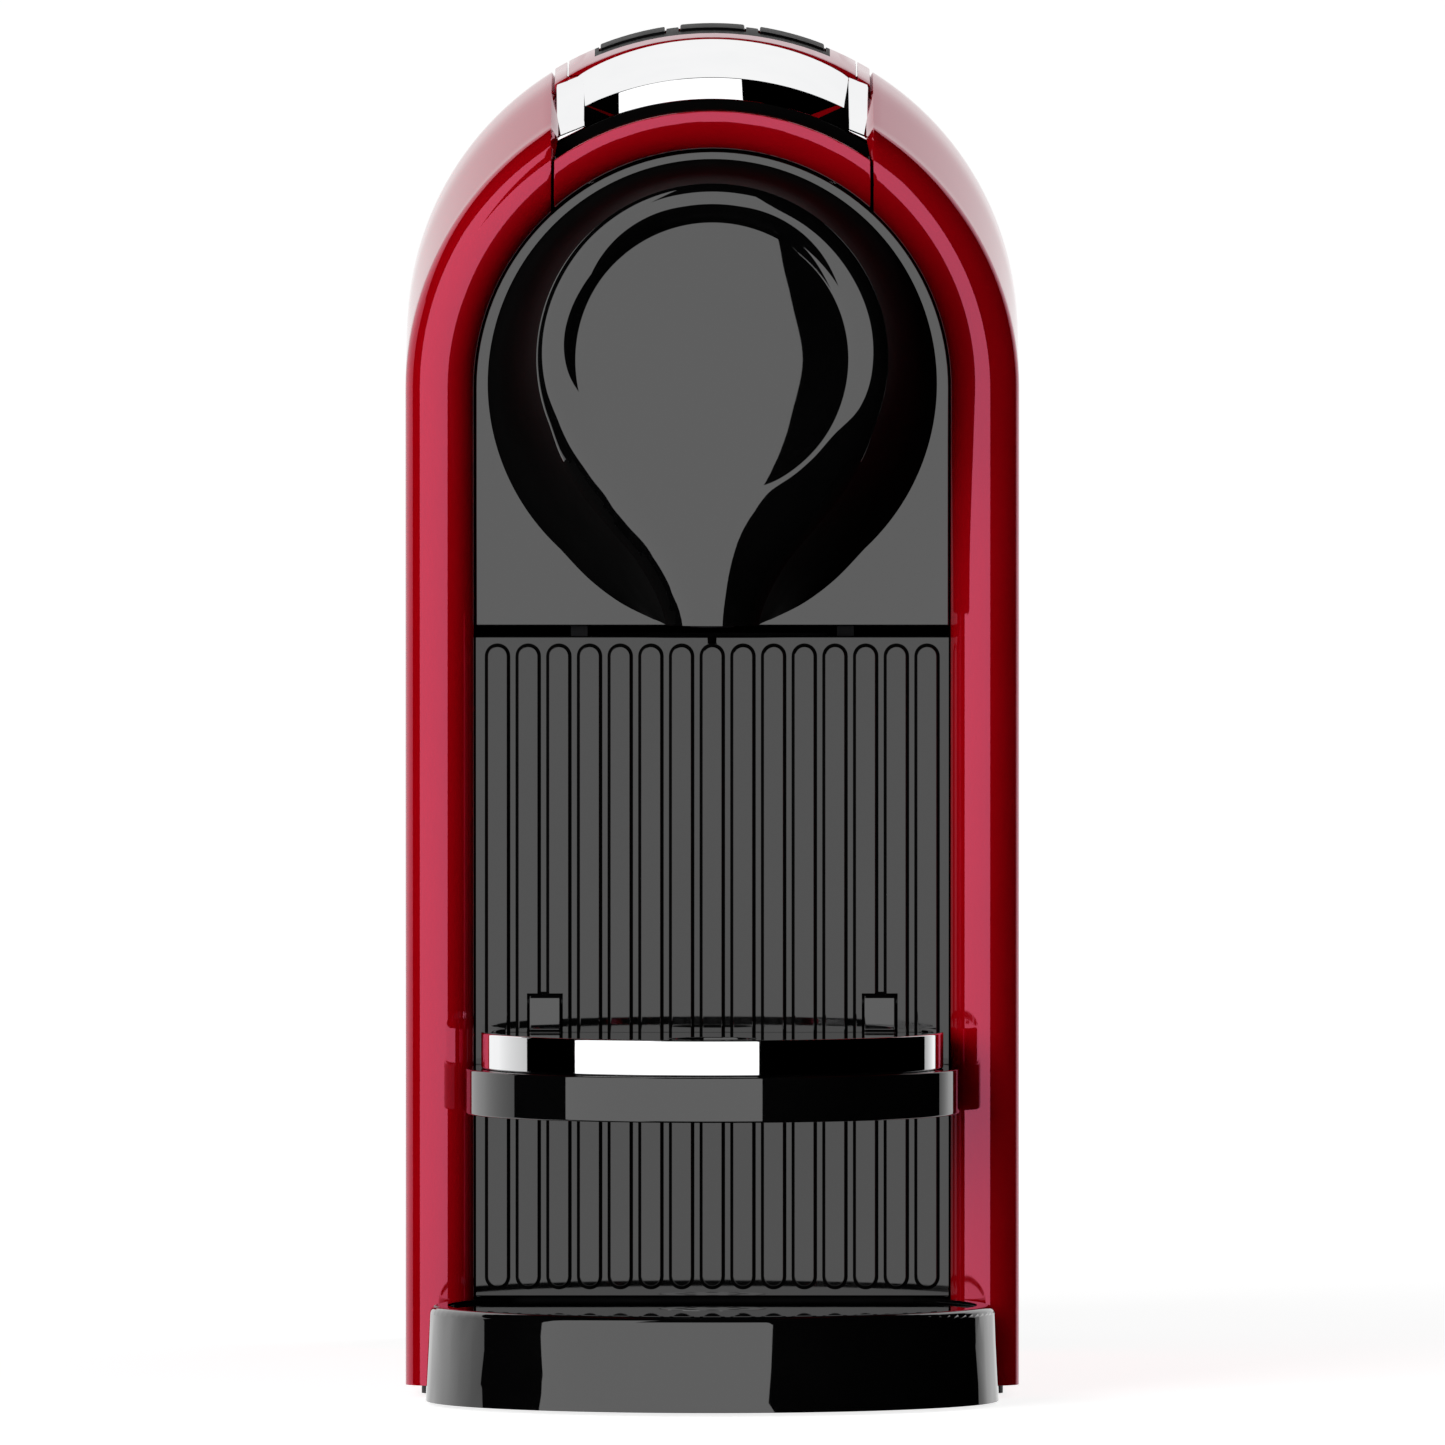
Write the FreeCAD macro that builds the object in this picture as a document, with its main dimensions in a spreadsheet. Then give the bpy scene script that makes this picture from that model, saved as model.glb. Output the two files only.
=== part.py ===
import FreeCAD
import Part
import Sketcher
import math
import os
from types import SimpleNamespace

# Pod coffee machine, in millimetres. +Z is up, the front faces -Y, +X is right as seen from the front.
# The origin lies on the standing surface, below the middle of the machine's bounding box.

driving_sizes = {
    # Red casing: an arch section that rises from the rim to a crest and falls to the rear
    "body_width": 118.0,
    "arch_axis_height": 194.2,
    "panel_face_y": -90.0,
    "shell_bottom": 2.4,
    "shell_wall": 2.6,
    "shell_length": 200.0,
    "slope_run": 36.0,
    "slope_rise": 7.6,
    "crest_run": 22.0,
    "crest_rise": 1.9,
    "rear_fall": 8.5,
    "rim_radius": 6.6,
    "rim_depth": 6.0,
    "fit_gap": 0.3,
    "cut_margin": 1.0,
    "cutter_reach": 20.0,
    # Lever
    "lever_width": 60.8,
    "lever_gap": 0.6,
    "lever_pivot_depth": 110.0,
    "lever_pivot_drop": 22.2,
    "lever_opening": 75,
    "nose_radius": 80.0,
    "nose_length": 50.0,
    "arm_thickness": 2.4,
    "arm_end_radius": 19.6,
    "arm_drop": 7.0,
    "arm_set_back": 20.0,
    "slot_tail": 22.0,
    "rim_segment_drop": 5.6,
    "handle_drop": 3.6,
    "handle_set_back": 4.5,
    "handle_wall": 4.2,
    "handle_sink": 0.2,
    "handle_round_margin": 0.9,
    "liner_set_back": 6.0,
    "handle_side_gap": 0.3,
    "shaft_radius": 4.0,
    "bush_wall": 2.0,
    "running_gap": 0.05,
    # Buttons
    "button_gap": 3.0,
    "button_edge": 1.4,
    "button_length": 15.0,
    "button_set_back": 50.0,
    "button_proud": 1.6,
    "button_travel": 1.2,
    "button_lip": 1.0,
    "button_stem_radius": 2.0,
    "dome_radius": 3.0,
    "dome_height": 0.3,
    "switch_board_drop": 11.5,
    "switch_board_thickness": 1.2,
    # Front panels
    "panel_thickness": 3.0,
    "upper_panel_bottom": 148.4,
    "seam_gap": 2.0,
    "lower_panel_bottom": 19.3,
    "rib_count": 15,
    "rib_side_margin": 1.97,
    "rib_width": 4.46,
    "rib_height": 0.8,
    "rib_margin": 1.6,
    "seam_notch_width": 1.4,
    "seam_notch_depth": 1.2,
    # Nozzle cover: a round flare that narrows to a snout
    "cover_rim_gap": 2.6,
    "cover_flank_x": 27.9,
    "cover_foot_half": 11.4,
    "face_radius": 33.0,
    "face_rise": 2.8,
    "face_flank_x": 28.0,
    "face_foot_half": 7.4,
    "snout_bottom": 150.0,
    "cover_depth": 40.0,
    "cover_wall": 2.4,
    "groove_inner_radius": 28.0,
    "groove_width": 2.5,
    "groove_depth": 1.0,
    "spout_depth": 32.5,
    "spout_radius": 4.2,
    "spout_bore": 2.8,
    "spout_bend": 9.0,
    "spout_drop": 14.0,
    "spout_end_gap": 0.8,
    # Brewing unit
    "frame_side_gap": 0.8,
    "frame_plate": 3.2,
    "frame_back_y": 50.0,
    "frame_nose_gap": 2.4,
    "frame_step_y": -52.0,
    "rear_plate_y": 0.0,
    "rear_plate_thickness": 4.0,
    "rear_plate_rise": 21.0,
    "rear_plate_drop": 32.0,
    "head_radius": 30.0,
    "head_depth": 14.0,
    "chute_cup_gap": 1.8,
    "chute_height": 8.0,
    "chute_wall": 3.0,
    "slot_length": 24.0,
    "carriage_front_y": -74.0,
    "cup_side_gap": 2.0,
    "cup_wall": 5.0,
    "cup_bore_depth": 16.0,
    "cup_length": 20.0,
    "block_length": 24.0,
    "block_side_gap": 1.5,
    "block_drop": 30.0,
    "block_rise": 0.6,
    "guide_inset": 5.5,
    "guide_drop": 23.0,
    "guide_radius": 3.0,
    "guide_length": 56.0,
    "feed_radius": 3.0,
    "feed_length": 36.0,
    "needle_radius": 1.2,
    "needle_length": 7.0,
    "needle_circle": 8.0,
    "seal_height": 1.5,
    "seal_wall": 3.0,
    "gear_module": 1.5,
    "pressure_angle_degrees": 20,
    "pinion_teeth": 16,
    "pinion_width": 12.0,
    "tooth_share": 0.8,
    "tooth_backlash": 0.3,
    "tooth_root_gap": 0.3,
    "rack_width": 10.0,
    "rack_height": 2.8,
    "rack_tail": 7.0,
    "web_set_back": 4.0,
    "web_length": 16.0,
    # Drawer
    "base_inset": 4.0,
    "base_draft": 0.8,
    "base_centre_depth": 30.0,
    "base_top": 19.0,
    "base_lift": 0.7,
    "base_edge_radius": 1.6,
    "base_lip": 1.8,
    "base_ledge": 2.2,
    "base_cover_drop": 2.5,
    "base_cover_thickness": 1.9,
    "base_floor": 2.4,
    "base_wall": 2.4,
    "base_leg_gap": 0.7,
    "base_drain_radius": 9.9,
    "tongue_side_gap": 3.3,
    "tongue_thickness": 3.0,
    "bin_side_gap": 4.8,
    "bin_wall": 1.8,
    "bin_top": 139.5,
    "bin_front_gap": 2.4,
    "bin_length": 95.0,
    # Cup rest
    "ring_set_in": 3.0,
    "ring_wall": 1.8,
    "ring_bottom": 64.0,
    "ring_top": 71.0,
    "cup_centre_depth": 17.0,
    "cradle_overhang": 1.6,
    "cradle_bottom": 55.3,
    "cradle_floor": 2.4,
    "cradle_wall": 4.6,
    "cup_rear_gap": 1.4,
    "cup_plate_drop": 0.8,
    "cup_plate_thickness": 2.4,
    "cup_drain_radius": 8.0,
    "drain_holes": 8,
    "drain_circle_share": 0.6,
    "drain_hole_share": 0.125,
    "lug_ring_gap": 4.39,
    "lug_width": 6.1,
    "lug_eye_radius": 2.7,
    "lug_side_gap": 0.4,
    "lug_arm_depth": 5.5,
    "lug_root": 1.0,
    "hinge_height": 76.0,
    "hinge_depth": 2.0,
    "hinge_pin_radius": 1.2,
    "hinge_boss_width": 3.4,
    "hinge_boss_depth": 1.8,
    # Chassis
    "chassis_plate": 2.8,
    "chassis_front_gap": 1.0,
    "deck_top": 146.0,
    "deck_thickness": 4.0,
    "drop_half": 22.0,
    "bulkhead_y": 14.0,
    "bulkhead_thickness": 3.0,
    "rail_width": 4.0,
    "rail_height": 5.8,
    "rail_gap": 0.4,
    "screw_radius": 1.5,
    "screw_head_radius": 2.8,
    "screw_head_height": 1.2,
    "screw_length": 6.4,
    "screw_inset": 22.0,
    "foot_radius": 6.0,
    "foot_side_inset": 6.4,
    "foot_front_depth": 18.0,
    "foot_rear_inset": 12.0,
    # Rear bay
    "rear_plate_wall": 3.0,
    "pump_radius": 19.0,
    "pump_length": 76.0,
    "pump_side_inset": 28.4,
    "pump_height": 40.0,
    "pump_front_y": 24.0,
    "nipple_radius": 3.0,
    "nipple_length": 5.0,
    "saddle_length": 10.0,
    "saddle_half": 15.0,
    "saddle_inset": 8.0,
    "heater_x": 8.0,
    "heater_width": 38.0,
    "heater_length": 60.0,
    "heater_height": 58.0,
    "heater_lift": 8.0,
    "heater_post_radius": 4.0,
    "thermostat_radius": 8.0,
    "thermostat_height": 6.0,
    "meter_radius": 9.0,
    "meter_height": 24.0,
    "meter_x": 8.0,
    "meter_y": 95.0,
    "meter_gap": 1.2,
    "hose_radius": 2.6,
    "hose_bend": 9.0,
    "hose_rise_y": 60.0,
    "control_board_width": 84.0,
    "control_board_height": 64.0,
    "control_board_bottom": 112.0,
    "control_board_thickness": 1.6,
    "standoff_radius": 3.0,
    "standoff_length": 7.0,
    "standoff_inset": 6.0,
    # Water tank and the platform below it
    "tank_gap": 1.5,
    "tank_inset": 2.0,
    "tank_depth": 63.5,
    "tank_wall": 2.4,
    "tank_bottom": 18.4,
    "tank_rim": 222.0,
    "seat_top": 18.0,
    "valve_radius": 6.8,
    "valve_length": 12.0,
    "valve_head": 2.0,
    "valve_y": 130.0,
    "seal_ring_wall": 2.4,
    "seal_ring_depth": 3.0,
    "gland_inset": 21.0,
    "gland_height": 11.4,
    "gland_radius": 5.5,
    "gland_bore": 3.3,
    "gland_length": 15.0,
    "lid_gap": 0.4,
    "lid_hinge_inset": 2.3,
    "lid_hinge_rise": 2.7,
    "lid_barrel_radius": 2.2,
    "lid_barrel_half": 20.0,
    "lid_ear_width": 3.5,
    "lid_ear_gap": 0.4,
    "lid_pin_radius": 1.2,
}

doc = FreeCAD.newDocument("pod_coffee_machine")
sheet = doc.addObject("Spreadsheet::Sheet", "sizes")
for row, (alias, number) in enumerate(driving_sizes.items(), start=1):
    sheet.set(f"A{row}", alias)
    sheet.set(f"B{row}", str(number))
    sheet.setAlias(f"B{row}", alias)
doc.recompute()


# A size that knows its number and the formula, in sheet names, that gives it
class Size:
    def __init__(self, value, text):
        self.value = float(value)
        self.text = text

    def __add__(self, other):
        other = as_size(other)
        return Size(self.value + other.value, f"({self.text} + {other.text})")

    def __sub__(self, other):
        other = as_size(other)
        return Size(self.value - other.value, f"({self.text} - {other.text})")

    def __mul__(self, other):
        other = as_size(other)
        return Size(self.value * other.value, f"({self.text} * {other.text})")

    def __truediv__(self, other):
        other = as_size(other)
        return Size(self.value / other.value, f"({self.text} / {other.text})")

    def __neg__(self):
        return Size(-self.value, f"(0 - {self.text})")

    def __float__(self):
        return self.value


def as_size(item):
    if isinstance(item, Size):
        return item
    return Size(item, repr(float(item)))


def root(size):
    return Size(math.sqrt(size.value), f"sqrt({size.text})")


def hypotenuse_leg(long_side, short_side):
    return root(long_side * long_side - short_side * short_side)


mm = SimpleNamespace(**{alias: Size(sheet.get(alias), f"sizes.{alias}") for alias in driving_sizes})
zero = as_size(0)
sub_parts = []


# Binding, placing and joining
def bind(item, prop, size):
    item.setExpression(prop, as_size(size).text)


def both(half):
    return (-half, half)


def block(name, x, y, z):
    item = doc.addObject("Part::Box", name)
    for prop, axis, (low, high) in zip(("Length", "Width", "Height"), "xyz", (x, y, z)):
        bind(item, prop, as_size(high) - low)
        bind(item, f"Placement.Base.{axis}", low)
    return item


rod_turns = {
    "x": FreeCAD.Rotation(FreeCAD.Vector(0, 1, 0), 90),
    "y": FreeCAD.Rotation(FreeCAD.Vector(1, 0, 0), -90),
    "z": FreeCAD.Rotation(),
}


def rod(name, axis, radius, span, x=0, y=0, z=0):
    item = doc.addObject("Part::Cylinder", name)
    item.Placement = FreeCAD.Placement(FreeCAD.Vector(), rod_turns[axis])
    place = {"x": x, "y": y, "z": z}
    place[axis] = span[0]
    bind(item, "Radius", radius)
    bind(item, "Height", as_size(span[1]) - span[0])
    for letter, start in place.items():
        bind(item, f"Placement.Base.{letter}", start)
    return item


def join(name, *items):
    if len(items) == 1:
        return items[0]
    item = doc.addObject("Part::MultiFuse", name)
    item.Shapes = list(items)
    return item


def cut(name, base, *tools):
    item = doc.addObject("Part::Cut", name)
    item.Base = base
    item.Tool = join(f"{name}_tools", *tools)
    return item


def meet(name, first, second):
    item = doc.addObject("Part::Common", name)
    item.Base = first
    item.Tool = second
    return item


def group(name, items):
    item = doc.addObject("Part::Compound", name)
    item.Links = list(items)
    return item


def sub_part(item, label):
    item.Label = label
    sub_parts.append(item)
    return item


# Sketches on a body's own planes
def new_body(name):
    return doc.addObject("PartDesign::Body", name)


def sketch_on(body, name, role, offset):
    item = body.newObject("Sketcher::SketchObject", name)
    plane = [feature for feature in body.Origin.OriginFeatures if feature.Role == role][0]
    item.AttachmentSupport = [(plane, "")]
    item.MapMode = "FlatFace"
    bind(item, "AttachmentOffset.Base.z", offset)
    return item


def front_sketch(body, name, y):
    return sketch_on(body, name, "XZ_Plane", -as_size(y))


def plan_sketch(body, name, z):
    return sketch_on(body, name, "XY_Plane", z)


def side_sketch(body, name, x):
    return sketch_on(body, name, "YZ_Plane", x)


def pin_coordinate(sketch, kind, geometry, end, size):
    size = as_size(size)
    if size.value == 0:
        axis_line = -2 if kind == "DistanceX" else -1
        sketch.addConstraint(Sketcher.Constraint("PointOnObject", geometry, end, axis_line))
        return
    index = sketch.addConstraint(Sketcher.Constraint(kind, -1, 1, geometry, end, size.value))
    sketch.setExpression(f"Constraints[{index}]", size.text)


def pin_point(sketch, geometry, end, x, y):
    pin_coordinate(sketch, "DistanceX", geometry, end, x)
    pin_coordinate(sketch, "DistanceY", geometry, end, y)


def vector(point):
    return FreeCAD.Vector(float(as_size(point[0])), float(as_size(point[1])), 0)


# A closed outline: each corner is (x, y), or (x, y, centre) where a counter-clockwise arc leads to it
def outline(sketch, corners):
    ends = []
    for index, corner in enumerate(corners):
        start = vector(corners[index - 1])
        end = vector(corner)
        if len(corner) == 2:
            geometry = sketch.addGeometry(Part.LineSegment(start, end), False)
        else:
            centre = vector(corner[2])
            spokes = [start - centre, end - centre]
            angles = [math.atan2(spoke.y, spoke.x) for spoke in spokes]
            circle = Part.Circle(centre, FreeCAD.Vector(0, 0, 1), spokes[0].Length)
            geometry = sketch.addGeometry(Part.ArcOfCircle(circle, angles[0], angles[1]), False)
        ends.append(geometry)
    for index, corner in enumerate(corners):
        following = ends[(index + 1) % len(ends)]
        sketch.addConstraint(Sketcher.Constraint("Coincident", ends[index], 2, following, 1))
        pin_point(sketch, ends[index], 2, corner[0], corner[1])
        if len(corner) == 3:
            chord = vector(corner) - vector(corners[index - 1])
            if abs(chord.x) > abs(chord.y):
                pin_coordinate(sketch, "DistanceY", ends[index], 3, corner[2][1])
            else:
                pin_coordinate(sketch, "DistanceX", ends[index], 3, corner[2][0])


def rectangle(sketch, x, y):
    outline(sketch, [(x[0], y[0]), (x[1], y[0]), (x[1], y[1]), (x[0], y[1])])


def circle(sketch, radius, x=0, y=0):
    start = Part.Circle(vector((x, y)), FreeCAD.Vector(0, 0, 1), float(as_size(radius)))
    geometry = sketch.addGeometry(start, False)
    index = sketch.addConstraint(Sketcher.Constraint("Radius", geometry, float(as_size(radius))))
    bind(sketch, f"Constraints[{index}]", radius)
    pin_point(sketch, geometry, 3, x, y)


def feature(body, kind, name, sketch, length=None, reverse=False):
    item = body.newObject(f"PartDesign::{kind}", name)
    item.Profile = sketch
    item.Reversed = reverse
    if length is not None:
        bind(item, "Length", length)
    sketch.Visibility = False
    return item


# Shared places
half = mm.body_width / 2
inner_half = half - mm.shell_wall
ring_inner = half - mm.rim_radius * 2
rim_crest = half - mm.rim_radius
face = mm.panel_face_y
axis = mm.arch_axis_height
shell_back = face + mm.shell_length
slope_end = face + mm.slope_run
crest_end = slope_end + mm.crest_run
slope_axis = axis + mm.slope_rise
crest_axis = slope_axis + mm.crest_rise
rear_axis = crest_axis - mm.rear_fall
above_all = crest_axis + half + mm.cutter_reach
panel_back = face + mm.panel_thickness
pivot_y = face + mm.lever_pivot_depth
pivot_z = axis + half - mm.lever_pivot_drop
lever_half = mm.lever_width / 2
handle_half = lever_half - mm.handle_side_gap
slot_half = lever_half + mm.lever_gap
slot_end = pivot_y + mm.slot_tail
arm_inner = lever_half - mm.arm_thickness
frame_half = arm_inner - mm.frame_side_gap
plate_inner = frame_half - mm.frame_plate
base_radius = half - mm.base_inset
cradle_radius = ring_inner + mm.cradle_overhang
ring_radius = cradle_radius - mm.ring_set_in
plate_edge = ring_radius - mm.ring_wall
ring_end_x = hypotenuse_leg(plate_edge, mm.cup_centre_depth - mm.cup_rear_gap)
lug_half = mm.lug_width / 2
lug_x = ring_end_x - mm.lug_ring_gap - lug_half
far_front = face - base_radius - mm.base_centre_depth - mm.cutter_reach
chassis_top = mm.shell_bottom + mm.chassis_plate


# Arch sections along the casing
def arch_outline(sketch, width_half, centre, bottom):
    outline(sketch, [
        (-width_half, bottom),
        (width_half, bottom),
        (width_half, centre),
        (-width_half, centre, (zero, centre)),
    ])


def arch_solid(name, width_half, bottom, lift=0, tail=0):
    body = new_body(name)
    stations = [
        (face, axis),
        (slope_end, slope_axis),
        (crest_end, crest_axis),
        (shell_back + tail, rear_axis),
    ]
    sections = []
    for index, (y, centre) in enumerate(stations):
        section = front_sketch(body, f"{name}_section{index}", y)
        arch_outline(section, width_half, centre + lift, bottom)
        sections.append(section)
    loft = body.newObject("PartDesign::AdditiveLoft", f"{name}_loft")
    loft.Profile = sections[0]
    loft.Sections = sections[1:]
    loft.Ruled = True
    return body


def arch_slab(name, width_half, centre, bottom, y):
    body = new_body(name)
    section = front_sketch(body, f"{name}_section", y[1])
    arch_outline(section, width_half, centre, bottom)
    feature(body, "Pad", f"{name}_pad", section, as_size(y[1]) - y[0])
    return body


arch_outer = arch_solid("arch_outer", half, mm.shell_bottom)
arch_inner = arch_solid("arch_inner", inner_half, mm.shell_bottom - mm.cut_margin, tail=mm.cut_margin)
arch_seat = arch_solid("arch_seat", inner_half - mm.fit_gap, mm.shell_bottom)
arch_raised = arch_solid("arch_raised", half, mm.shell_bottom, lift=mm.button_proud)

# Half-round bead of the rim, in a frame of its own at the arch's axis
rim_bead = new_body("rim_bead")
bind(rim_bead, "Placement.Base.y", face)
bind(rim_bead, "Placement.Base.z", axis)
bead_section = plan_sketch(rim_bead, "bead_section", 0)
outline(bead_section, [(ring_inner, zero), (half, zero, (rim_crest, zero))])
bead_arch = rim_bead.newObject("PartDesign::Revolution", "bead_arch")
bead_arch.Profile = bead_section
bead_arch.ReferenceAxis = (bead_section, ["V_Axis"])
bead_arch.Angle = 180
bead_arch.Reversed = True
for side, sign in (("right", 1), ("left", -1)):
    leg_section = plan_sketch(rim_bead, f"bead_{side}_section", 0)
    ends = [ring_inner * sign, half * sign]
    if sign < 0:
        ends.reverse()
    outline(leg_section, [(ends[0], zero), (ends[1], zero, (rim_crest * sign, zero))])
    feature(rim_bead, "Pad", f"bead_{side}_leg", leg_section, axis - mm.shell_bottom, reverse=True)

# Outer shell
far_back = shell_back + mm.tank_depth + mm.cutter_reach
cavity = meet("cavity", arch_inner, block(
    "cavity_zone", both(half), (face + mm.rim_depth, far_back), (zero, above_all)))
front_opening = arch_slab(
    "front_opening", ring_inner, axis, mm.shell_bottom - mm.cut_margin,
    (face - mm.cut_margin, face + mm.rim_depth + mm.cut_margin))
lever_slot = block(
    "lever_slot", both(slot_half), (far_front, slot_end), (axis + ring_inner / 2, above_all))
shell_body = cut("shell_body", arch_outer, cavity, front_opening)
shell_with_rim = join("shell_with_rim", shell_body, rim_bead)
sub_part(cut("outer_shell", shell_with_rim, lever_slot), "outer_shell")

# Lever: the rim segment, its arms, the liner in the finger recess and the chrome handle
nose_zone = block(
    "nose_zone", both(lever_half), (far_front, face + mm.nose_length), (axis + ring_inner / 2, above_all))
nose_drum = rod("nose_drum", "x", mm.nose_radius, both(half), y=pivot_y, z=pivot_z)
front_bore = rod(
    "front_bore", "y", ring_inner + mm.fit_gap, (far_front, far_back), z=axis)
nose_block = meet("nose_block", join("nose_blank", arch_outer, rim_bead), nose_zone)
nose = cut("nose", nose_block, nose_drum, front_bore)
segment_drum = rod("segment_drum", "y", half - mm.rim_segment_drop, (far_front, far_back), z=axis)
handle_drum = rod("handle_drum", "y", half - mm.handle_drop, (far_front, far_back), z=axis)
rim_segment = meet("rim_segment", nose, segment_drum)

handle_zone = cut(
    "handle_zone",
    block("handle_block", both(half), (far_front, pivot_y), (zero, above_all)),
    rod("arm_drum", "x", mm.nose_radius - mm.fit_gap, both(half), y=pivot_y, z=pivot_z),
    segment_drum)
arms = []
for side, span in (("right", (arm_inner, lever_half)), ("left", (-lever_half, -arm_inner))):
    bar = block(
        f"arm_{side}_bar", span, (face + mm.arm_set_back, pivot_y),
        (pivot_z - mm.arm_drop, above_all))
    flush_bar = meet(f"arm_{side}_flush", bar, arch_outer)
    clear_bar = cut(f"arm_{side}_clear", flush_bar, handle_zone, front_bore)
    arms.append(clear_bar)
    arms.append(rod(f"arm_{side}_end", "x", mm.arm_end_radius, span, y=pivot_y, z=pivot_z))
lever_blank = join("lever_blank", rim_segment, *arms)
lever_bore = rod(
    "lever_bore", "x", mm.shaft_radius + mm.running_gap / 2, both(half), y=pivot_y, z=pivot_z)
sub_part(cut("lever_frame", lever_blank, lever_bore), "lever_frame")

liner_zone = block(
    "liner_zone", both(handle_half), (face + mm.liner_set_back, pivot_y), (zero, above_all))
liner_band = cut("liner_band", meet("liner_disc", nose, handle_drum), segment_drum)
sub_part(meet("lever_liner", liner_band, liner_zone), "lever_liner")

# Handle: half-round in plan, with a top that rises from the front wall to the lever's own height
handle_plan_radius = handle_half + mm.handle_round_margin
handle_middle = face + mm.handle_set_back + handle_plan_radius
handle_top = new_body("handle_top")
handle_sections = []
for index, share in enumerate((-1, -0.93, -0.8, -0.6, -0.3, 0, 0.3, 0.6, 0.8, 0.93, 1)):
    x = handle_half * share
    front = handle_middle - hypotenuse_leg(handle_plan_radius, x)
    front_height = axis + hypotenuse_leg(half - mm.handle_drop, x) + mm.handle_wall
    back_height = slope_axis + hypotenuse_leg(half, x) - mm.handle_sink
    lean = (back_height - front_height) / (slope_end - front)
    section = side_sketch(handle_top, f"handle_section{index}", x)
    outline(section, [
        (front - mm.cut_margin, axis),
        (slope_end, axis),
        (slope_end, back_height),
        (front - mm.cut_margin, front_height - lean * mm.cut_margin),
    ])
    handle_sections.append(section)
handle_loft = handle_top.newObject("PartDesign::AdditiveLoft", "handle_loft")
handle_loft.Profile = handle_sections[0]
handle_loft.Sections = handle_sections[1:]
handle_plan = rod("handle_plan", "z", handle_plan_radius, (zero, above_all), y=handle_middle)
handle_blank = meet("handle_blank", handle_top, handle_plan)
sub_part(cut("lever_handle", handle_blank, handle_drum, nose_drum), "lever_handle")

sub_part(rod("lever_shaft", "x", mm.shaft_radius, both(lever_half), y=pivot_y, z=pivot_z), "lever_shaft")

# Top cover between the arms, with the button holes
cover_half = arm_inner - mm.fit_gap
cover_skin = cut("cover_skin", arch_outer, arch_inner)
cover_zone = meet(
    "cover_zone",
    rod("cover_drum", "x", mm.nose_radius - mm.lever_gap, both(cover_half), y=pivot_y, z=pivot_z),
    block("cover_block", both(cover_half), (far_front, slot_end - mm.fit_gap), (pivot_z, above_all)))
cover_blank = meet("cover_blank", cover_skin, cover_zone)

button_front = face + mm.button_set_back
button_back = button_front + mm.button_length
button_axis = slope_axis + mm.crest_rise * (button_front - mm.button_lip - slope_end) / mm.crest_run
half_row_buttons = 1.5
button_width = (plate_inner - mm.button_gap - mm.button_lip - mm.button_edge) / half_row_buttons
button_pitch = button_width + mm.button_gap
button_half = button_width / 2
lip_half = button_half + mm.button_lip
switch_board_top = slope_axis + half - mm.switch_board_drop
stem_end = switch_board_top + mm.dome_height + mm.button_travel + mm.fit_gap / 3
button_y = button_front + mm.button_length / 2
holes = []
domes = []
for place, label in ((-1, "button_left"), (0, "button_centre"), (1, "button_right")):
    middle = button_pitch * place
    outer_edge = button_pitch * abs(place) + lip_half
    lip_top = button_axis + hypotenuse_leg(inner_half, outer_edge) - mm.fit_gap
    cap = meet(
        f"{label}_cap", arch_raised,
        block(f"{label}_prism", (middle - button_half, middle + button_half),
              (button_front, button_back), (lip_top - mm.button_lip, above_all)))
    lip = block(
        f"{label}_lip", (middle - lip_half, middle + lip_half),
        (button_front - mm.button_lip, button_back + mm.button_lip), (lip_top - mm.button_lip, lip_top))
    stem = rod(f"{label}_stem", "z", mm.button_stem_radius, (stem_end, lip_top), x=middle, y=button_y)
    sub_part(join(label, cap, lip, stem), label)
    hole_half = button_half + mm.fit_gap
    holes.append(block(
        f"{label}_hole", (middle - hole_half, middle + hole_half),
        (button_front - mm.fit_gap, button_back + mm.fit_gap), (lip_top - mm.button_lip, above_all)))
    domes.append(rod(
        f"{label}_dome", "z", mm.dome_radius,
        (switch_board_top, switch_board_top + mm.dome_height), x=middle, y=button_y))
sub_part(cut("top_cover", cover_blank, *holes), "top_cover")

board = block(
    "board_plate", both(plate_inner - mm.fit_gap),
    (button_front - mm.button_lip, button_back + mm.button_lip),
    (switch_board_top - mm.switch_board_thickness, switch_board_top))
sub_part(join("switch_board", board, *domes), "switch_board")

# Upper front panel with the hole for the brewing head
panel_radius = ring_inner - mm.fit_gap
upper_panel = new_body("upper_panel")
upper_section = front_sketch(upper_panel, "upper_section", panel_back)
arch_outline(upper_section, panel_radius, axis, mm.upper_panel_bottom)
feature(upper_panel, "Pad", "upper_pad", upper_section, mm.panel_thickness)
head_hole = front_sketch(upper_panel, "head_hole", panel_back)
circle(head_hole, mm.head_radius + mm.fit_gap, y=axis)
feature(upper_panel, "Pocket", "head_pocket", head_hole, mm.panel_thickness, reverse=True)
sub_part(upper_panel, "upper_panel")


# Nozzle cover: a ruled flare between two teardrop outlines, open at the snout
def teardrop(sketch, radius, centre, flank_x, foot_half, foot):
    flank_z = centre - hypotenuse_leg(radius, flank_x)
    outline(sketch, [
        (-foot_half, foot),
        (foot_half, foot),
        (flank_x, flank_z),
        (-flank_x, flank_z, (zero, centre)),
    ])


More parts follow.
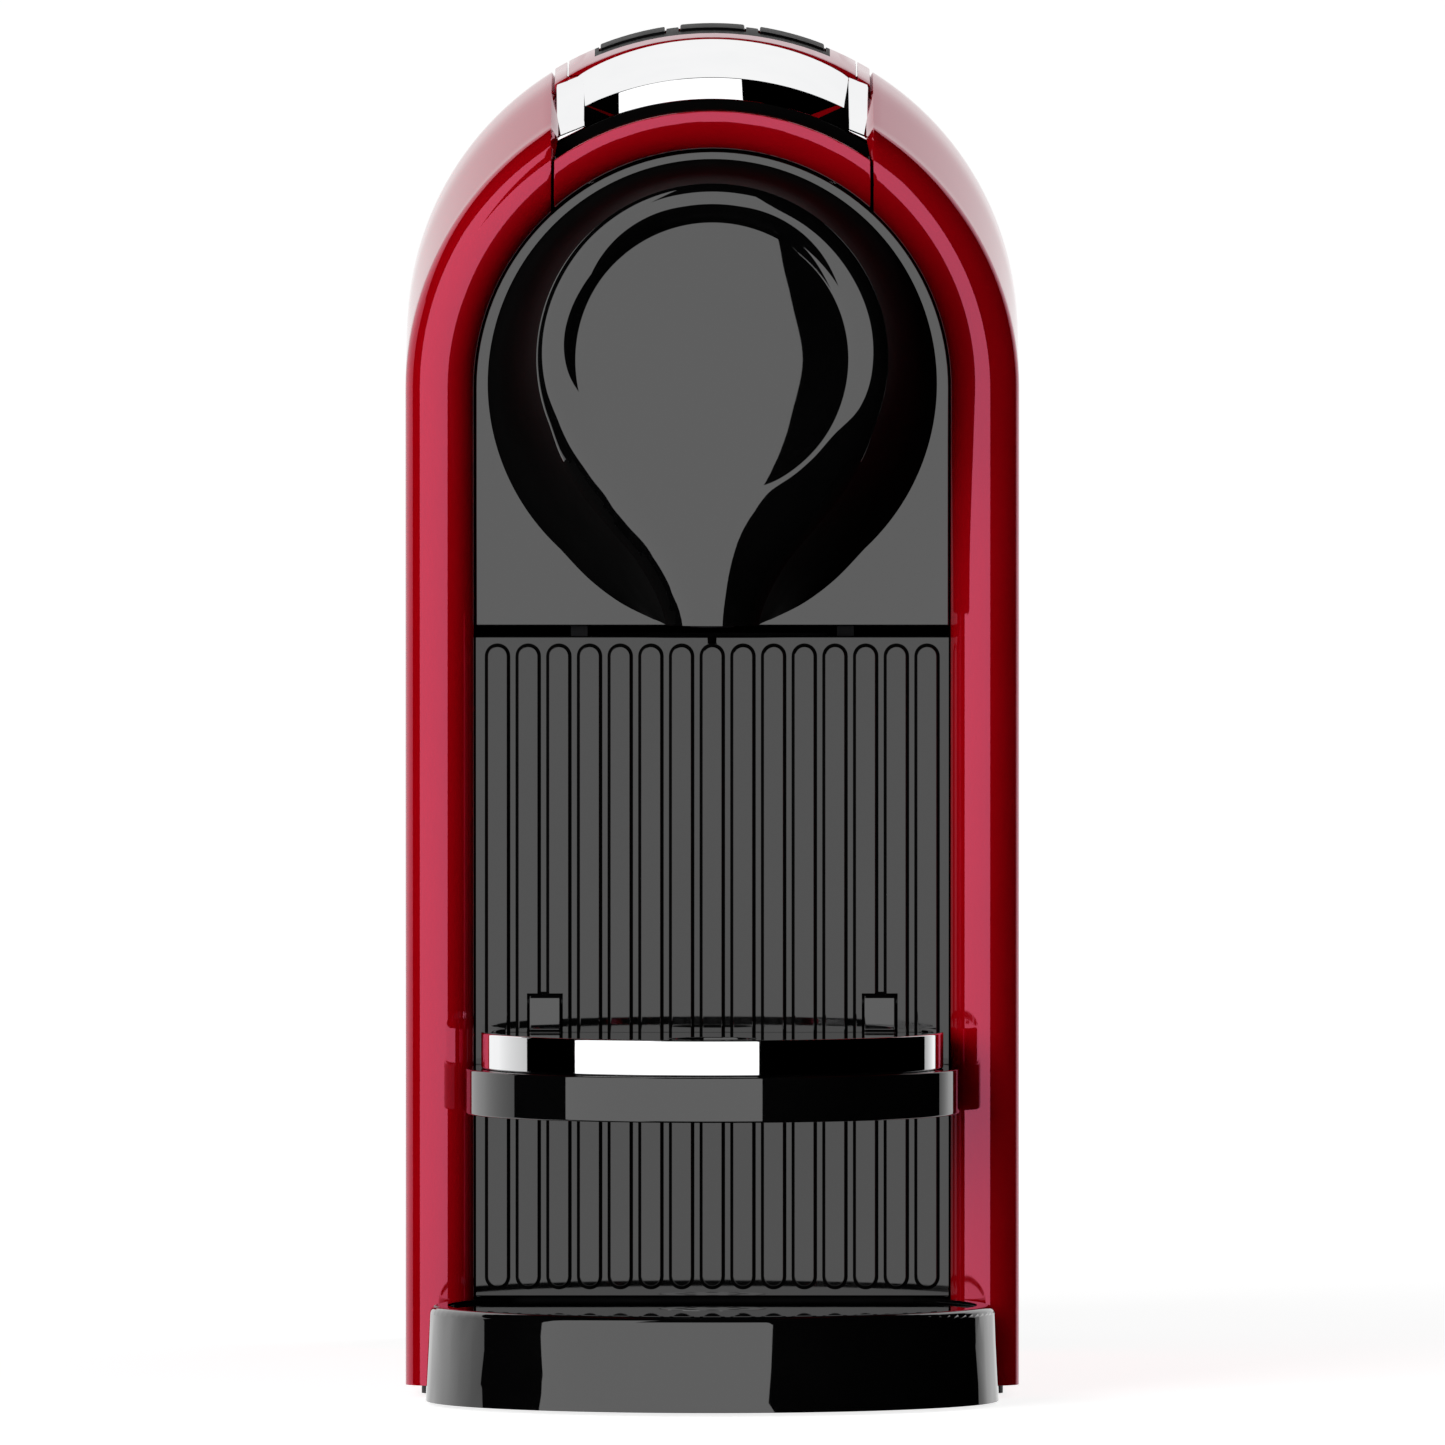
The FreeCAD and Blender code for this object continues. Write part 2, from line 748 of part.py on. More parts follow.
def flare(name, inset, front, foot):
    body = new_body(name)
    face_axis = axis + mm.face_rise
    wide = front_sketch(body, f"{name}_wide", face)
    teardrop(
        wide, ring_inner - mm.cover_rim_gap - inset, axis, mm.cover_flank_x - inset,
        mm.cover_foot_half - inset, foot)
    narrow = front_sketch(body, f"{name}_narrow", front)
    teardrop(
        narrow, mm.face_radius - inset, face_axis, mm.face_flank_x - inset,
        mm.face_foot_half - inset, foot)
    loft = body.newObject("PartDesign::AdditiveLoft", f"{name}_loft")
    loft.Profile = wide
    loft.Sections = [narrow]
    loft.Ruled = True
    return body


cover_front = face - mm.cover_depth
cover_outside = flare("cover_outside", zero, cover_front, mm.snout_bottom)
cover_inside = flare(
    "cover_inside", mm.cover_wall, cover_front + mm.cover_wall, mm.snout_bottom - mm.cover_wall)
groove = cut(
    "groove_ring",
    rod("groove_outer", "y", mm.groove_inner_radius + mm.groove_width,
        (far_front, cover_front + mm.groove_depth), z=axis + mm.face_rise),
    rod("groove_inner", "y", mm.groove_inner_radius, (far_front, cover_front + mm.groove_depth),
        z=axis + mm.face_rise))
sub_part(cut("nozzle_cover", cover_outside, cover_inside, groove), "nozzle_cover")

# Brewing head in the nozzle cover, and the spout that leads from it to the snout
head_front = face - mm.head_depth
head_back = panel_back + mm.fit_gap
spout_y = face - mm.spout_depth
outlet_height = axis - mm.spout_drop
head = rod("head_disc", "y", mm.head_radius, (head_front, head_back), z=axis)
sub_part(cut("brew_head", head, rod(
    "head_channel", "y", mm.spout_bore, (far_front, face), z=outlet_height)), "brew_head")


def tube_path(points, bend):
    edges = []
    start = points[0]
    for index in range(1, len(points) - 1):
        corner = points[index]
        inward = (points[index - 1] - corner).normalize()
        outward = (points[index + 1] - corner).normalize()
        turn = math.pi - inward.getAngle(outward)
        reach = bend * math.tan(turn / 2)
        arc_start = corner + inward * reach
        arc_end = corner + outward * reach
        bisector = (inward + outward).normalize()
        middle = corner + bisector * (bend / math.cos(turn / 2) - bend)
        edges.append(Part.LineSegment(start, arc_start).toShape())
        edges.append(Part.Arc(arc_start, middle, arc_end).toShape())
        start = arc_end
    edges.append(Part.LineSegment(start, points[-1]).toShape())
    return Part.Wire(edges)


def tube_solid(points, radius, bend):
    path = tube_path(points, bend)
    direction = points[1] - points[0]
    section = Part.Wire(Part.makeCircle(radius, points[0], direction))
    return path.makePipeShell([section], True, True)


def tube(name, points, radius, bend, bore=None):
    places = [FreeCAD.Vector(*[float(as_size(number)) for number in point]) for point in points]
    shape = tube_solid(places, float(radius), float(bend))
    if bore is not None:
        shape = shape.cut(tube_solid(places, float(bore), float(bend)))
    item = doc.addObject("Part::Feature", name)
    item.Shape = shape
    item.Placement = FreeCAD.Placement()
    return item


spout_route = [
    (zero, head_front, outlet_height),
    (zero, spout_y, outlet_height),
    (zero, spout_y, mm.snout_bottom - mm.spout_end_gap),
]
sub_part(tube("coffee_spout", spout_route, mm.spout_radius, mm.spout_bend, mm.spout_bore), "coffee_spout")

# Brewing frame: two side plates that step up behind the lever's nose, and a rear cross plate
frame_front = panel_back + mm.fit_gap
frame_bottom = mm.deck_top
frame_step = axis + hypotenuse_leg(ring_inner + mm.fit_gap, frame_half) - mm.frame_nose_gap
plates = []
for side, span in (("right", (plate_inner, frame_half)), ("left", (-frame_half, -plate_inner))):
    plates.append(block(
        f"plate_{side}_low", span, (frame_front, mm.frame_back_y), (frame_bottom, frame_step)))
    plates.append(meet(
        f"plate_{side}_high", arch_seat,
        block(f"plate_{side}_step", span, (mm.frame_step_y, mm.frame_back_y),
              (frame_step, above_all))))
rear_plate_back = mm.rear_plate_y + mm.rear_plate_thickness
plates.append(block(
    "frame_cross", both(plate_inner), (mm.rear_plate_y, rear_plate_back),
    (axis - mm.rear_plate_drop, axis + mm.rear_plate_rise)))
block_half = plate_inner - mm.block_side_gap
guide_x = block_half - mm.guide_inset
guide_z = axis - mm.guide_drop
bush_radius = mm.shaft_radius + mm.bush_wall
frame_holes = [
    rod("bush_seat", "x", bush_radius + mm.running_gap, both(half), y=pivot_y, z=pivot_z),
    rod("feed_seat", "y", mm.feed_radius + mm.running_gap, (mm.rear_plate_y, rear_plate_back), z=axis),
]
for side, x in (("right", guide_x), ("left", -guide_x)):
    frame_holes.append(rod(
        f"guide_seat_{side}", "y", mm.guide_radius + mm.running_gap,
        (mm.rear_plate_y, rear_plate_back), x=x, z=guide_z))
sub_part(cut("brew_frame", join("brew_frame_blank", *plates), *frame_holes), "brew_frame")

bushes = []
for side, span in (("right", (plate_inner, frame_half)), ("left", (-frame_half, -plate_inner))):
    bushes.append(cut(
        f"bush_{side}",
        rod(f"bush_{side}_outside", "x", bush_radius, span, y=pivot_y, z=pivot_z),
        rod(f"bush_{side}_bore", "x", mm.shaft_radius + mm.running_gap, span, y=pivot_y, z=pivot_z)))
sub_part(group("shaft_bushes", bushes), "shaft_bushes")

guide_start = rear_plate_back - mm.guide_length - mm.rear_plate_thickness
guides = []
for side, x in (("right", guide_x), ("left", -guide_x)):
    guides.append(rod(
        f"guide_{side}", "y", mm.guide_radius, (guide_start, rear_plate_back), x=x, z=guide_z))
sub_part(group("guide_rods", guides), "guide_rods")

feed_start = mm.rear_plate_y - mm.feed_length
sub_part(rod("feed_tube", "y", mm.feed_radius, (feed_start, rear_plate_back), z=axis), "feed_tube")

# Capsule chute below the lever's nose
chute_front = frame_front + mm.fit_gap
chute_back = chute_front + mm.slot_length + mm.chute_wall * 2
chute_half = plate_inner - mm.fit_gap
cup_radius = plate_inner - mm.cup_side_gap
cup_bore = cup_radius - mm.cup_wall
chute_bottom = axis + cup_radius + mm.chute_cup_gap
chute_top = chute_bottom + mm.chute_height
sub_part(cut(
    "capsule_chute",
    block("chute_block", both(chute_half), (chute_front, chute_back), (chute_bottom, chute_top)),
    block("chute_mouth", both(chute_half - mm.chute_wall),
          (chute_front + mm.chute_wall, chute_back - mm.chute_wall),
          (chute_bottom - mm.cut_margin, chute_top + mm.cut_margin))), "capsule_chute")

# Brewing carriage: cup, slide block, web and rack
cup_front = mm.carriage_front_y
cup_back = cup_front + mm.cup_length
block_back = cup_back + mm.block_length
pitch_radius = mm.gear_module * mm.pinion_teeth / 2
pitch_height = pivot_z + pitch_radius
tooth_height = mm.gear_module * mm.tooth_share
rack_root = pitch_height + tooth_height + mm.tooth_root_gap
rack_top = rack_root + mm.rack_height
rack_front = cup_back + mm.web_set_back
rack_back = pivot_y + mm.rack_tail
rack_half = mm.rack_width / 2
pressure_angle = math.radians(mm.pressure_angle_degrees.value)


def prism_along_x(name, points, low, high):
    corners = [FreeCAD.Vector(float(low), y, z) for y, z in points]
    side_face = Part.Face(Part.makePolygon(corners + corners[:1]))
    item = doc.addObject("Part::Feature", name)
    item.Shape = side_face.extrude(FreeCAD.Vector(float(high) - float(low), 0, 0))
    item.Placement = FreeCAD.Placement()
    return item


# Rack teeth point down onto the pinion, one of them right above its axis
def rack_teeth():
    pressure = math.tan(pressure_angle)
    pitch = math.pi * float(mm.gear_module)
    tip = float(pitch_height - tooth_height)
    root_height = float(rack_root)
    half_at_pitch = pitch / 4 - float(mm.tooth_backlash) / 2
    half_at_tip = half_at_pitch - float(tooth_height) * pressure
    half_at_root = half_at_pitch + (root_height - float(pitch_height)) * pressure
    travel_teeth = int(math.ceil(math.radians(float(mm.lever_opening)) * float(pitch_radius) / pitch)) + 1
    teeth = []
    for index in range(-travel_teeth, 2):
        middle = float(pivot_y) + index * pitch
        corners = [
            (middle - half_at_root, root_height),
            (middle - half_at_tip, tip),
            (middle + half_at_tip, tip),
            (middle + half_at_root, root_height),
        ]
        teeth.append(prism_along_x(f"rack_tooth{index + travel_teeth}", corners, -rack_half, rack_half))
    return teeth


# The pinion's flanks are involutes, with a gap between teeth straight above its axis
def pinion_outline():
    count = int(mm.pinion_teeth.value)
    pitch = float(pitch_radius)
    base = pitch * math.cos(pressure_angle)
    tip = pitch + float(tooth_height)
    root_radius = pitch - float(tooth_height) - float(mm.tooth_root_gap)
    roll_at_pitch = math.tan(pressure_angle) - pressure_angle
    half_tooth = math.pi / (2 * count) - float(mm.tooth_backlash) / (2 * pitch) + roll_at_pitch
    flank_steps = 5
    flank = [(root_radius, half_tooth)]
    for step in range(flank_steps + 1):
        radius = base + (tip - base) * step / flank_steps
        roll = math.sqrt((radius / base) ** 2 - 1)
        flank.append((radius, half_tooth - (roll - math.atan(roll))))
    points = []
    for tooth in range(count):
        middle = math.pi / 2 + (tooth + 0.5) * 2 * math.pi / count
        polar = [(radius, middle - angle) for radius, angle in flank]
        polar += [(radius, middle + angle) for radius, angle in reversed(flank)]
        for radius, angle in polar:
            y = float(pivot_y) + radius * math.cos(angle)
            z = float(pivot_z) + radius * math.sin(angle)
            points.append((y, z))
    return points


carriage_solids = [
    rod("carriage_cup", "y", cup_radius, (cup_front, cup_back), z=axis),
    block("carriage_block", both(block_half), (cup_back, block_back),
          (axis - mm.block_drop, axis + cup_radius + mm.block_rise)),
    block("carriage_web", both(rack_half), (rack_front, rack_front + mm.web_length),
          (axis + cup_radius - mm.cut_margin, rack_top)),
    block("carriage_bar", both(rack_half), (rack_front, rack_back), (rack_root, rack_top)),
]
carriage_holes = [
    rod("carriage_bore", "y", cup_bore, (cup_front, cup_front + mm.cup_bore_depth), z=axis),
    rod("carriage_feed", "y", mm.feed_radius + mm.running_gap, (cup_front, block_back), z=axis),
]
for side, x in (("right", guide_x), ("left", -guide_x)):
    carriage_holes.append(rod(
        f"carriage_guide_{side}", "y", mm.guide_radius + mm.running_gap, (cup_back, block_back),
        x=x, z=guide_z))
carriage_blank = join("carriage_blank", *carriage_solids, *rack_teeth())
sub_part(cut("brew_carriage", carriage_blank, *carriage_holes), "brew_carriage")

sub_part(cut(
    "carriage_seal",
    rod("seal_outside", "y", cup_bore + mm.seal_wall, (cup_front - mm.seal_height, cup_front), z=axis),
    rod("seal_inside", "y", cup_bore, (cup_front - mm.seal_height, cup_front), z=axis)), "carriage_seal")

needles = []
needle_foot = cup_front + mm.cup_bore_depth
needle_count = 3
for index in range(needle_count):
    turn = math.radians(90 + index * 360 / needle_count)
    needle = doc.addObject("Part::Cone", f"needle{index}")
    needle.Radius2 = 0
    needle.Placement = FreeCAD.Placement(
        FreeCAD.Vector(), FreeCAD.Rotation(FreeCAD.Vector(1, 0, 0), 90))
    bind(needle, "Radius1", mm.needle_radius)
    bind(needle, "Height", mm.needle_length)
    bind(needle, "Placement.Base.x", mm.needle_circle * math.cos(turn))
    bind(needle, "Placement.Base.y", needle_foot)
    bind(needle, "Placement.Base.z", axis + mm.needle_circle * math.sin(turn))
    needles.append(needle)
sub_part(group("piercing_needles", needles), "piercing_needles")

pinion_blank = prism_along_x("pinion_blank", pinion_outline(), -mm.pinion_width / 2, mm.pinion_width / 2)
sub_part(cut("lever_pinion", pinion_blank, rod(
    "pinion_bore", "x", mm.shaft_radius + mm.running_gap / 2, both(mm.pinion_width), y=pivot_y, z=pivot_z)),
    "lever_pinion")

# Drawer front: a flat panel with round-ended ribs, slots for the lugs and bosses behind them
lower_top = mm.upper_panel_bottom - mm.seam_gap
hinge_y = face + mm.hinge_depth
hinge_z = mm.hinge_height
drawer_front = new_body("drawer_front_body")
drawer_section = front_sketch(drawer_front, "drawer_section", panel_back)
rectangle(drawer_section, both(panel_radius), (mm.lower_panel_bottom, lower_top))
feature(drawer_front, "Pad", "drawer_pad", drawer_section, mm.panel_thickness)
rib_half = mm.rib_width / 2
rib_low = mm.lower_panel_bottom + mm.rib_margin + rib_half
rib_high = lower_top - mm.rib_margin - rib_half
rib_span = (panel_radius - mm.rib_side_margin - rib_half) * 2
rib_x = -rib_span / 2
rib_section = front_sketch(drawer_front, "rib_section", face)
outline(rib_section, [
    (rib_x + rib_half, rib_high),
    (rib_x - rib_half, rib_high, (rib_x, rib_high)),
    (rib_x - rib_half, rib_low),
    (rib_x + rib_half, rib_low, (rib_x, rib_low)),
])
rib = feature(drawer_front, "Pad", "rib", rib_section, mm.rib_height)
doc.recompute()
ribs = drawer_front.newObject("PartDesign::LinearPattern", "ribs")
ribs.Originals = [rib]
ribs.Direction = (rib_section, ["H_Axis"])
bind(ribs, "Length", rib_span)
bind(ribs, "Occurrences", mm.rib_count)
drawer_front.Tip = ribs
slot_side = lug_half + mm.lug_side_gap
boss_half = slot_side + mm.hinge_boss_width
slot_low = mm.ring_bottom - mm.cut_margin
slot_high = hinge_z + mm.lug_eye_radius + mm.lug_side_gap
drawer_cuts = []
bosses = []
for side, x in (("right", lug_x), ("left", -lug_x)):
    drawer_cuts.append(block(
        f"lug_slot_{side}", (x - slot_side, x + slot_side),
        (face - mm.rib_height - mm.cut_margin, panel_back + mm.hinge_boss_depth), (slot_low, slot_high)))
    drawer_cuts.append(rod(
        f"pin_seat_{side}", "x", mm.hinge_pin_radius + mm.running_gap / 2, (x - boss_half, x + boss_half),
        y=hinge_y, z=hinge_z))
    bosses.append(block(
        f"hinge_boss_{side}", (x - boss_half, x + boss_half),
        (panel_back, panel_back + mm.hinge_boss_depth), (slot_low, slot_high)))
drawer_cuts.append(block(
    "seam_notch", both(mm.seam_notch_width / 2), (face - mm.cut_margin, panel_back),
    (lower_top - mm.seam_notch_depth, lower_top + mm.cut_margin)))
drawer_blank = join("drawer_blank", drawer_front, *bosses)
sub_part(cut("drawer_front", drawer_blank, *drawer_cuts), "drawer_front")

pins = []
for side, x in (("right", lug_x), ("left", -lug_x)):
    pins.append(rod(
        f"hinge_pin_{side}", "x", mm.hinge_pin_radius, (x - boss_half, x + boss_half),
        y=hinge_y, z=hinge_z))
sub_part(group("cup_hinge_pins", pins), "cup_hinge_pins")

# Drip base: a turned basin, trimmed clear of the rim's legs, with a tongue that carries the bin
base_y = face - mm.base_centre_depth
base_body = new_body("drip_basin")
bind(base_body, "Placement.Base.y", base_y)
base_section = front_sketch(base_body, "base_section", 0)
base_top_radius = base_radius - mm.base_draft
lip_radius = base_top_radius - mm.base_edge_radius - mm.base_lip
basin_radius = lip_radius - mm.base_ledge
ledge_height = mm.base_top - mm.base_cover_drop
basin_floor = mm.base_lift + mm.base_floor
outline(base_section, [
    (zero, mm.base_lift),
    (base_radius, mm.base_lift),
    (base_top_radius, mm.base_top - mm.base_edge_radius),
    (base_top_radius - mm.base_edge_radius, mm.base_top,
     (base_top_radius - mm.base_edge_radius, mm.base_top - mm.base_edge_radius)),
    (lip_radius, mm.base_top),
    (lip_radius, ledge_height),
    (basin_radius, ledge_height),
    (basin_radius, basin_floor),
    (zero, basin_floor),
])
turned = base_body.newObject("PartDesign::Revolution", "basin_turned")
turned.Profile = base_section
turned.ReferenceAxis = (base_section, ["V_Axis"])
turned.Angle = 360
base_back = panel_back
base_trim = [block("base_behind", both(half), (base_back, far_back), (zero, mm.base_top + mm.cut_margin))]
for side, sign in (("right", 1), ("left", -1)):
    span = sorted((panel_radius * sign, half * sign * 2), key=float)
    base_trim.append(block(
        f"base_trim_{side}", span, (face, base_back + mm.cut_margin), (zero, mm.base_top + mm.cut_margin)))
    base_trim.append(rod(
        f"base_leg_{side}", "z", mm.rim_radius + mm.base_leg_gap, (zero, mm.base_top + mm.cut_margin),
        x=rim_crest * sign, y=face))
base_round = cut("base_round", base_body, *base_trim)
rear_wall = meet(
    "base_rear_wall",
    rod("base_rear_disc", "z", basin_radius + mm.base_ledge / 2, (mm.base_lift, ledge_height), y=base_y),
    block("base_rear_block", both(panel_radius), (base_back - mm.base_wall, base_back),
          (mm.base_lift, ledge_height)))
tongue_low = chassis_top + mm.rail_gap
tongue_top = tongue_low + mm.tongue_thickness
bin_front = panel_back + mm.bin_front_gap
bin_back = bin_front + mm.bin_length
tongue_half = ring_inner - mm.tongue_side_gap
tongue = block(
    "base_tongue", both(tongue_half), (base_back - mm.base_wall, bin_back), (tongue_low, tongue_top))
sub_part(join("drip_base", base_round, rear_wall, tongue), "drip_base")

plate_back = face - mm.rib_height - mm.fit_gap
cover_plate_radius = lip_radius - mm.fit_gap
drain_y = face - mm.spout_depth
cover_plate = meet(
    "drip_plate",
    rod("drip_plate_disc", "z", cover_plate_radius,
        (ledge_height, ledge_height + mm.base_cover_thickness), y=base_y),
    block("drip_plate_front", both(half), (far_front, plate_back), (zero, mm.base_top)))
drain_seat = mm.base_drain_radius + mm.fit_gap
plate_clear = [rod("drip_drain_seat", "z", drain_seat, (zero, mm.base_top), y=drain_y)]
for side, sign in (("right", 1), ("left", -1)):
    plate_clear.append(rod(
        f"drip_leg_{side}", "z", mm.rim_radius + mm.base_leg_gap + mm.base_wall, (zero, mm.base_top),
        x=rim_crest * sign, y=face))
sub_part(cut("drip_cover", cover_plate, *plate_clear), "drip_cover")


# A drain disc: a thin round strainer with a ring of holes
def drain_disc(label, radius, bottom):
    disc = rod(f"{label}_disc", "z", radius, (bottom, bottom + mm.base_cover_thickness), y=drain_y)
    hole_radius = radius * mm.drain_hole_share
    hole_circle = radius * mm.drain_circle_share
    hole_count = int(mm.drain_holes.value)
    openings = []
    for index in range(hole_count):
        turn = 2 * math.pi * index / hole_count
        openings.append(rod(
            f"{label}_hole{index}", "z", hole_radius, (zero, mm.ring_top + mm.cut_margin),
            x=hole_circle * math.cos(turn), y=drain_y + hole_circle * math.sin(turn)))
    return sub_part(cut(label, disc, *openings), label)


drain_disc("drip_drain", mm.base_drain_radius, ledge_height)

# Capsule bin on the tongue
bin_floor = tongue_top + mm.fit_gap
bin_half = ring_inner - mm.bin_side_gap
sub_part(cut(
    "capsule_bin",
    block("bin_block", both(bin_half), (bin_front, bin_back), (bin_floor, mm.bin_top)),
    block("bin_inside", both(bin_half - mm.bin_wall), (bin_front + mm.bin_wall, bin_back - mm.bin_wall),
          (bin_floor + mm.bin_wall, mm.bin_top + mm.cut_margin))), "capsule_bin")

# Cup rest: cradle with two lugs, chrome ring, top plate and drain disc
cup_y = face - mm.cup_centre_depth
cup_back_y = face - mm.cup_rear_gap
cup_zone = block("cup_zone", both(half), (far_front, cup_back_y), (zero, above_all))
cradle_disc = meet(
    "cradle_disc",
    rod("cradle_blank", "z", cradle_radius, (mm.cradle_bottom, mm.ring_bottom), y=cup_y), cup_zone)
cradle_floor = mm.cradle_bottom + mm.cradle_floor
basin_zone = block(
    "cradle_basin_zone", both(half), (far_front, cup_back_y - mm.cradle_wall),
    (cradle_floor, mm.ring_bottom + mm.cut_margin))
cradle_basin = meet(
    "cradle_basin",
    rod("cradle_basin_blank", "z", cradle_radius - mm.cradle_wall,
        (cradle_floor, mm.ring_bottom + mm.cut_margin), y=cup_y), basin_zone)
cradle_solids = [cut("cradle_tray", cradle_disc, cradle_basin)]
eye_holes = []
for side, x in (("right", lug_x), ("left", -lug_x)):
    span = (x - lug_half, x + lug_half)
    cradle_solids.append(block(
        f"lug_{side}", span, (hinge_y - mm.lug_arm_depth, hinge_y),
        (mm.ring_bottom - mm.lug_root, hinge_z - mm.lug_arm_depth)))
    cradle_solids.append(block(
        f"lug_neck_{side}", span, (hinge_y - mm.lug_eye_radius, hinge_y), (mm.ring_bottom, hinge_z)))
    cradle_solids.append(rod(f"lug_eye_{side}", "x", mm.lug_eye_radius, span, y=hinge_y, z=hinge_z))
    eye_holes.append(rod(
        f"eye_hole_{side}", "x", mm.hinge_pin_radius + mm.running_gap, span, y=hinge_y, z=hinge_z))
sub_part(cut("cup_cradle", join("cradle_join", *cradle_solids), *eye_holes), "cup_cradle")

lug_clear = []
for side, x in (("right", lug_x), ("left", -lug_x)):
    clear = lug_half + mm.fit_gap
    lug_clear.append(block(
        f"lug_clear_{side}", (x - clear, x + clear),
        (hinge_y - mm.lug_arm_depth - mm.fit_gap, hinge_y), (zero, above_all)))
ring_outside = meet(
    "ring_outside", rod("ring_blank", "z", ring_radius, (mm.ring_bottom, mm.ring_top), y=cup_y), cup_zone)
ring_inside = rod("ring_bore", "z", plate_edge, (zero, above_all), y=cup_y)
sub_part(cut("cup_ring", ring_outside, ring_inside), "cup_ring")

cup_plate_top = mm.ring_top - mm.cup_plate_drop
cup_plate_low = cup_plate_top - mm.cup_plate_thickness
plate_blank = meet(
    "cup_plate_blank",
    rod("cup_plate_disc", "z", plate_edge - mm.fit_gap / 2, (cup_plate_low, cup_plate_top), y=cup_y),
    cup_zone)
sub_part(cut(
    "cup_plate", plate_blank,
    rod("cup_drain_seat", "z", mm.cup_drain_radius + mm.fit_gap, (zero, above_all), y=drain_y),
    *lug_clear), "cup_plate")
drain_disc("cup_drain", mm.cup_drain_radius, cup_plate_low)

# Chassis, drawer bay and rails
frame_side = inner_half - mm.fit_gap
bay_front = face + mm.rim_depth + mm.fit_gap
chassis_front = face + mm.rim_depth + mm.chassis_front_gap
tank_front = shell_back + mm.tank_gap
tank_back = tank_front + mm.tank_depth
rail_inner = tongue_half + mm.rail_gap
rail_outer = rail_inner + mm.rail_width
rail_front = chassis_front + mm.chassis_front_gap
rail_back = mm.bulkhead_y - mm.fit_gap
rail_x = (rail_inner + rail_outer) / 2
screw_places = []
for sign in (1, -1):
    for y in (rail_front + mm.screw_inset, rail_back - mm.screw_inset):
        screw_places.append((rail_x * sign, y))
screw_top = mm.shell_bottom + mm.screw_length
screws = []
chassis_holes = []
rail_holes = []
for index, (x, y) in enumerate(screw_places):
    head = rod(
        f"screw_head{index}", "z", mm.screw_head_radius,
        (mm.shell_bottom - mm.screw_head_height, mm.shell_bottom), x=x, y=y)
    shank = rod(f"screw_shank{index}", "z", mm.screw_radius, (mm.shell_bottom, screw_top), x=x, y=y)
    screws.append(join(f"screw{index}", head, shank))
    chassis_holes.append(rod(
        f"screw_hole{index}", "z", mm.screw_radius + mm.running_gap, (zero, chassis_top), x=x, y=y))
    rail_holes.append(rod(
        f"rail_hole{index}", "z", mm.screw_radius + mm.running_gap, (chassis_top, screw_top), x=x, y=y))
sub_part(group("rail_screws", screws), "rail_screws")

rails = []
for side, span in (("right", (rail_inner, rail_outer)), ("left", (-rail_outer, -rail_inner))):
    rails.append(block(
        f"rail_{side}", span, (rail_front, rail_back), (chassis_top, chassis_top + mm.rail_height)))
sub_part(cut("drawer_rails", join("rail_pair", *rails), *rail_holes), "drawer_rails")

chassis_blank = block(
    "chassis_plate_blank", both(frame_side), (chassis_front, tank_back - mm.tank_wall),
    (mm.shell_bottom, chassis_top))
sub_part(cut("chassis_base", chassis_blank, *chassis_holes), "chassis_base")

deck_low = mm.deck_top - mm.deck_thickness
bulkhead_back = mm.bulkhead_y + mm.bulkhead_thickness
bay_solids = join(
    "bay_join",
    block("bay_deck", both(frame_side), (bay_front, bulkhead_back), (deck_low, mm.deck_top)),
    block("bay_bulkhead", both(frame_side), (mm.bulkhead_y, bulkhead_back), (chassis_top, mm.deck_top)))
sub_part(cut(
    "bay_frame", bay_solids,
    block("capsule_drop", both(mm.drop_half), (bay_front - mm.cut_margin, chute_back),
          (deck_low - mm.cut_margin, mm.deck_top + mm.cut_margin))), "bay_frame")

feet = []
foot_rear_y = tank_back - mm.foot_rear_inset
foot_x = inner_half - mm.foot_side_inset
for place_x, side in ((foot_x, "right"), (-foot_x, "left")):
    for place_y, end in ((face + mm.foot_front_depth, "front"), (foot_rear_y, "rear")):
        feet.append(rod(
            f"foot_{side}_{end}", "z", mm.foot_radius, (zero, mm.shell_bottom), x=place_x, y=place_y))
sub_part(group("feet", feet), "feet")

# Rear frame that closes the casing
rear_frame_front = shell_back - mm.rear_plate_wall
port_height = mm.gland_height
rear_frame = arch_slab(
    "rear_frame_plate", frame_side - mm.fit_gap, rear_axis, chassis_top, (rear_frame_front, shell_back))
meter_port = rod(
    "meter_port", "y", mm.hose_radius + mm.fit_gap, (rear_frame_front, shell_back), x=mm.meter_x,
    z=port_height)
sub_part(cut("rear_frame", rear_frame, meter_port), "rear_frame")

# Pump on two saddles
pump_x = mm.pump_side_inset - inner_half
pump_back = mm.pump_front_y + mm.pump_length
pump_solid = rod("pump_can", "y", mm.pump_radius, (mm.pump_front_y, pump_back), x=pump_x, z=mm.pump_height)
nipple_top = mm.pump_height + mm.pump_radius + mm.nipple_length
outlet_y = mm.pump_front_y + mm.nipple_length * 2
pump_outlet = rod(
    "pump_outlet", "z", mm.nipple_radius, (mm.pump_height, nipple_top), x=pump_x, y=outlet_y)
pump_inlet = rod(
    "pump_inlet", "z", mm.nipple_radius, (mm.pump_height, nipple_top), x=pump_x, y=mm.meter_y)
sub_part(join("pump", pump_solid, pump_outlet, pump_inlet), "pump")
saddles = []
saddle_bore = rod(
    "saddle_bore", "y", mm.pump_radius + mm.running_gap, (mm.pump_front_y, pump_back),
    x=pump_x, z=mm.pump_height)
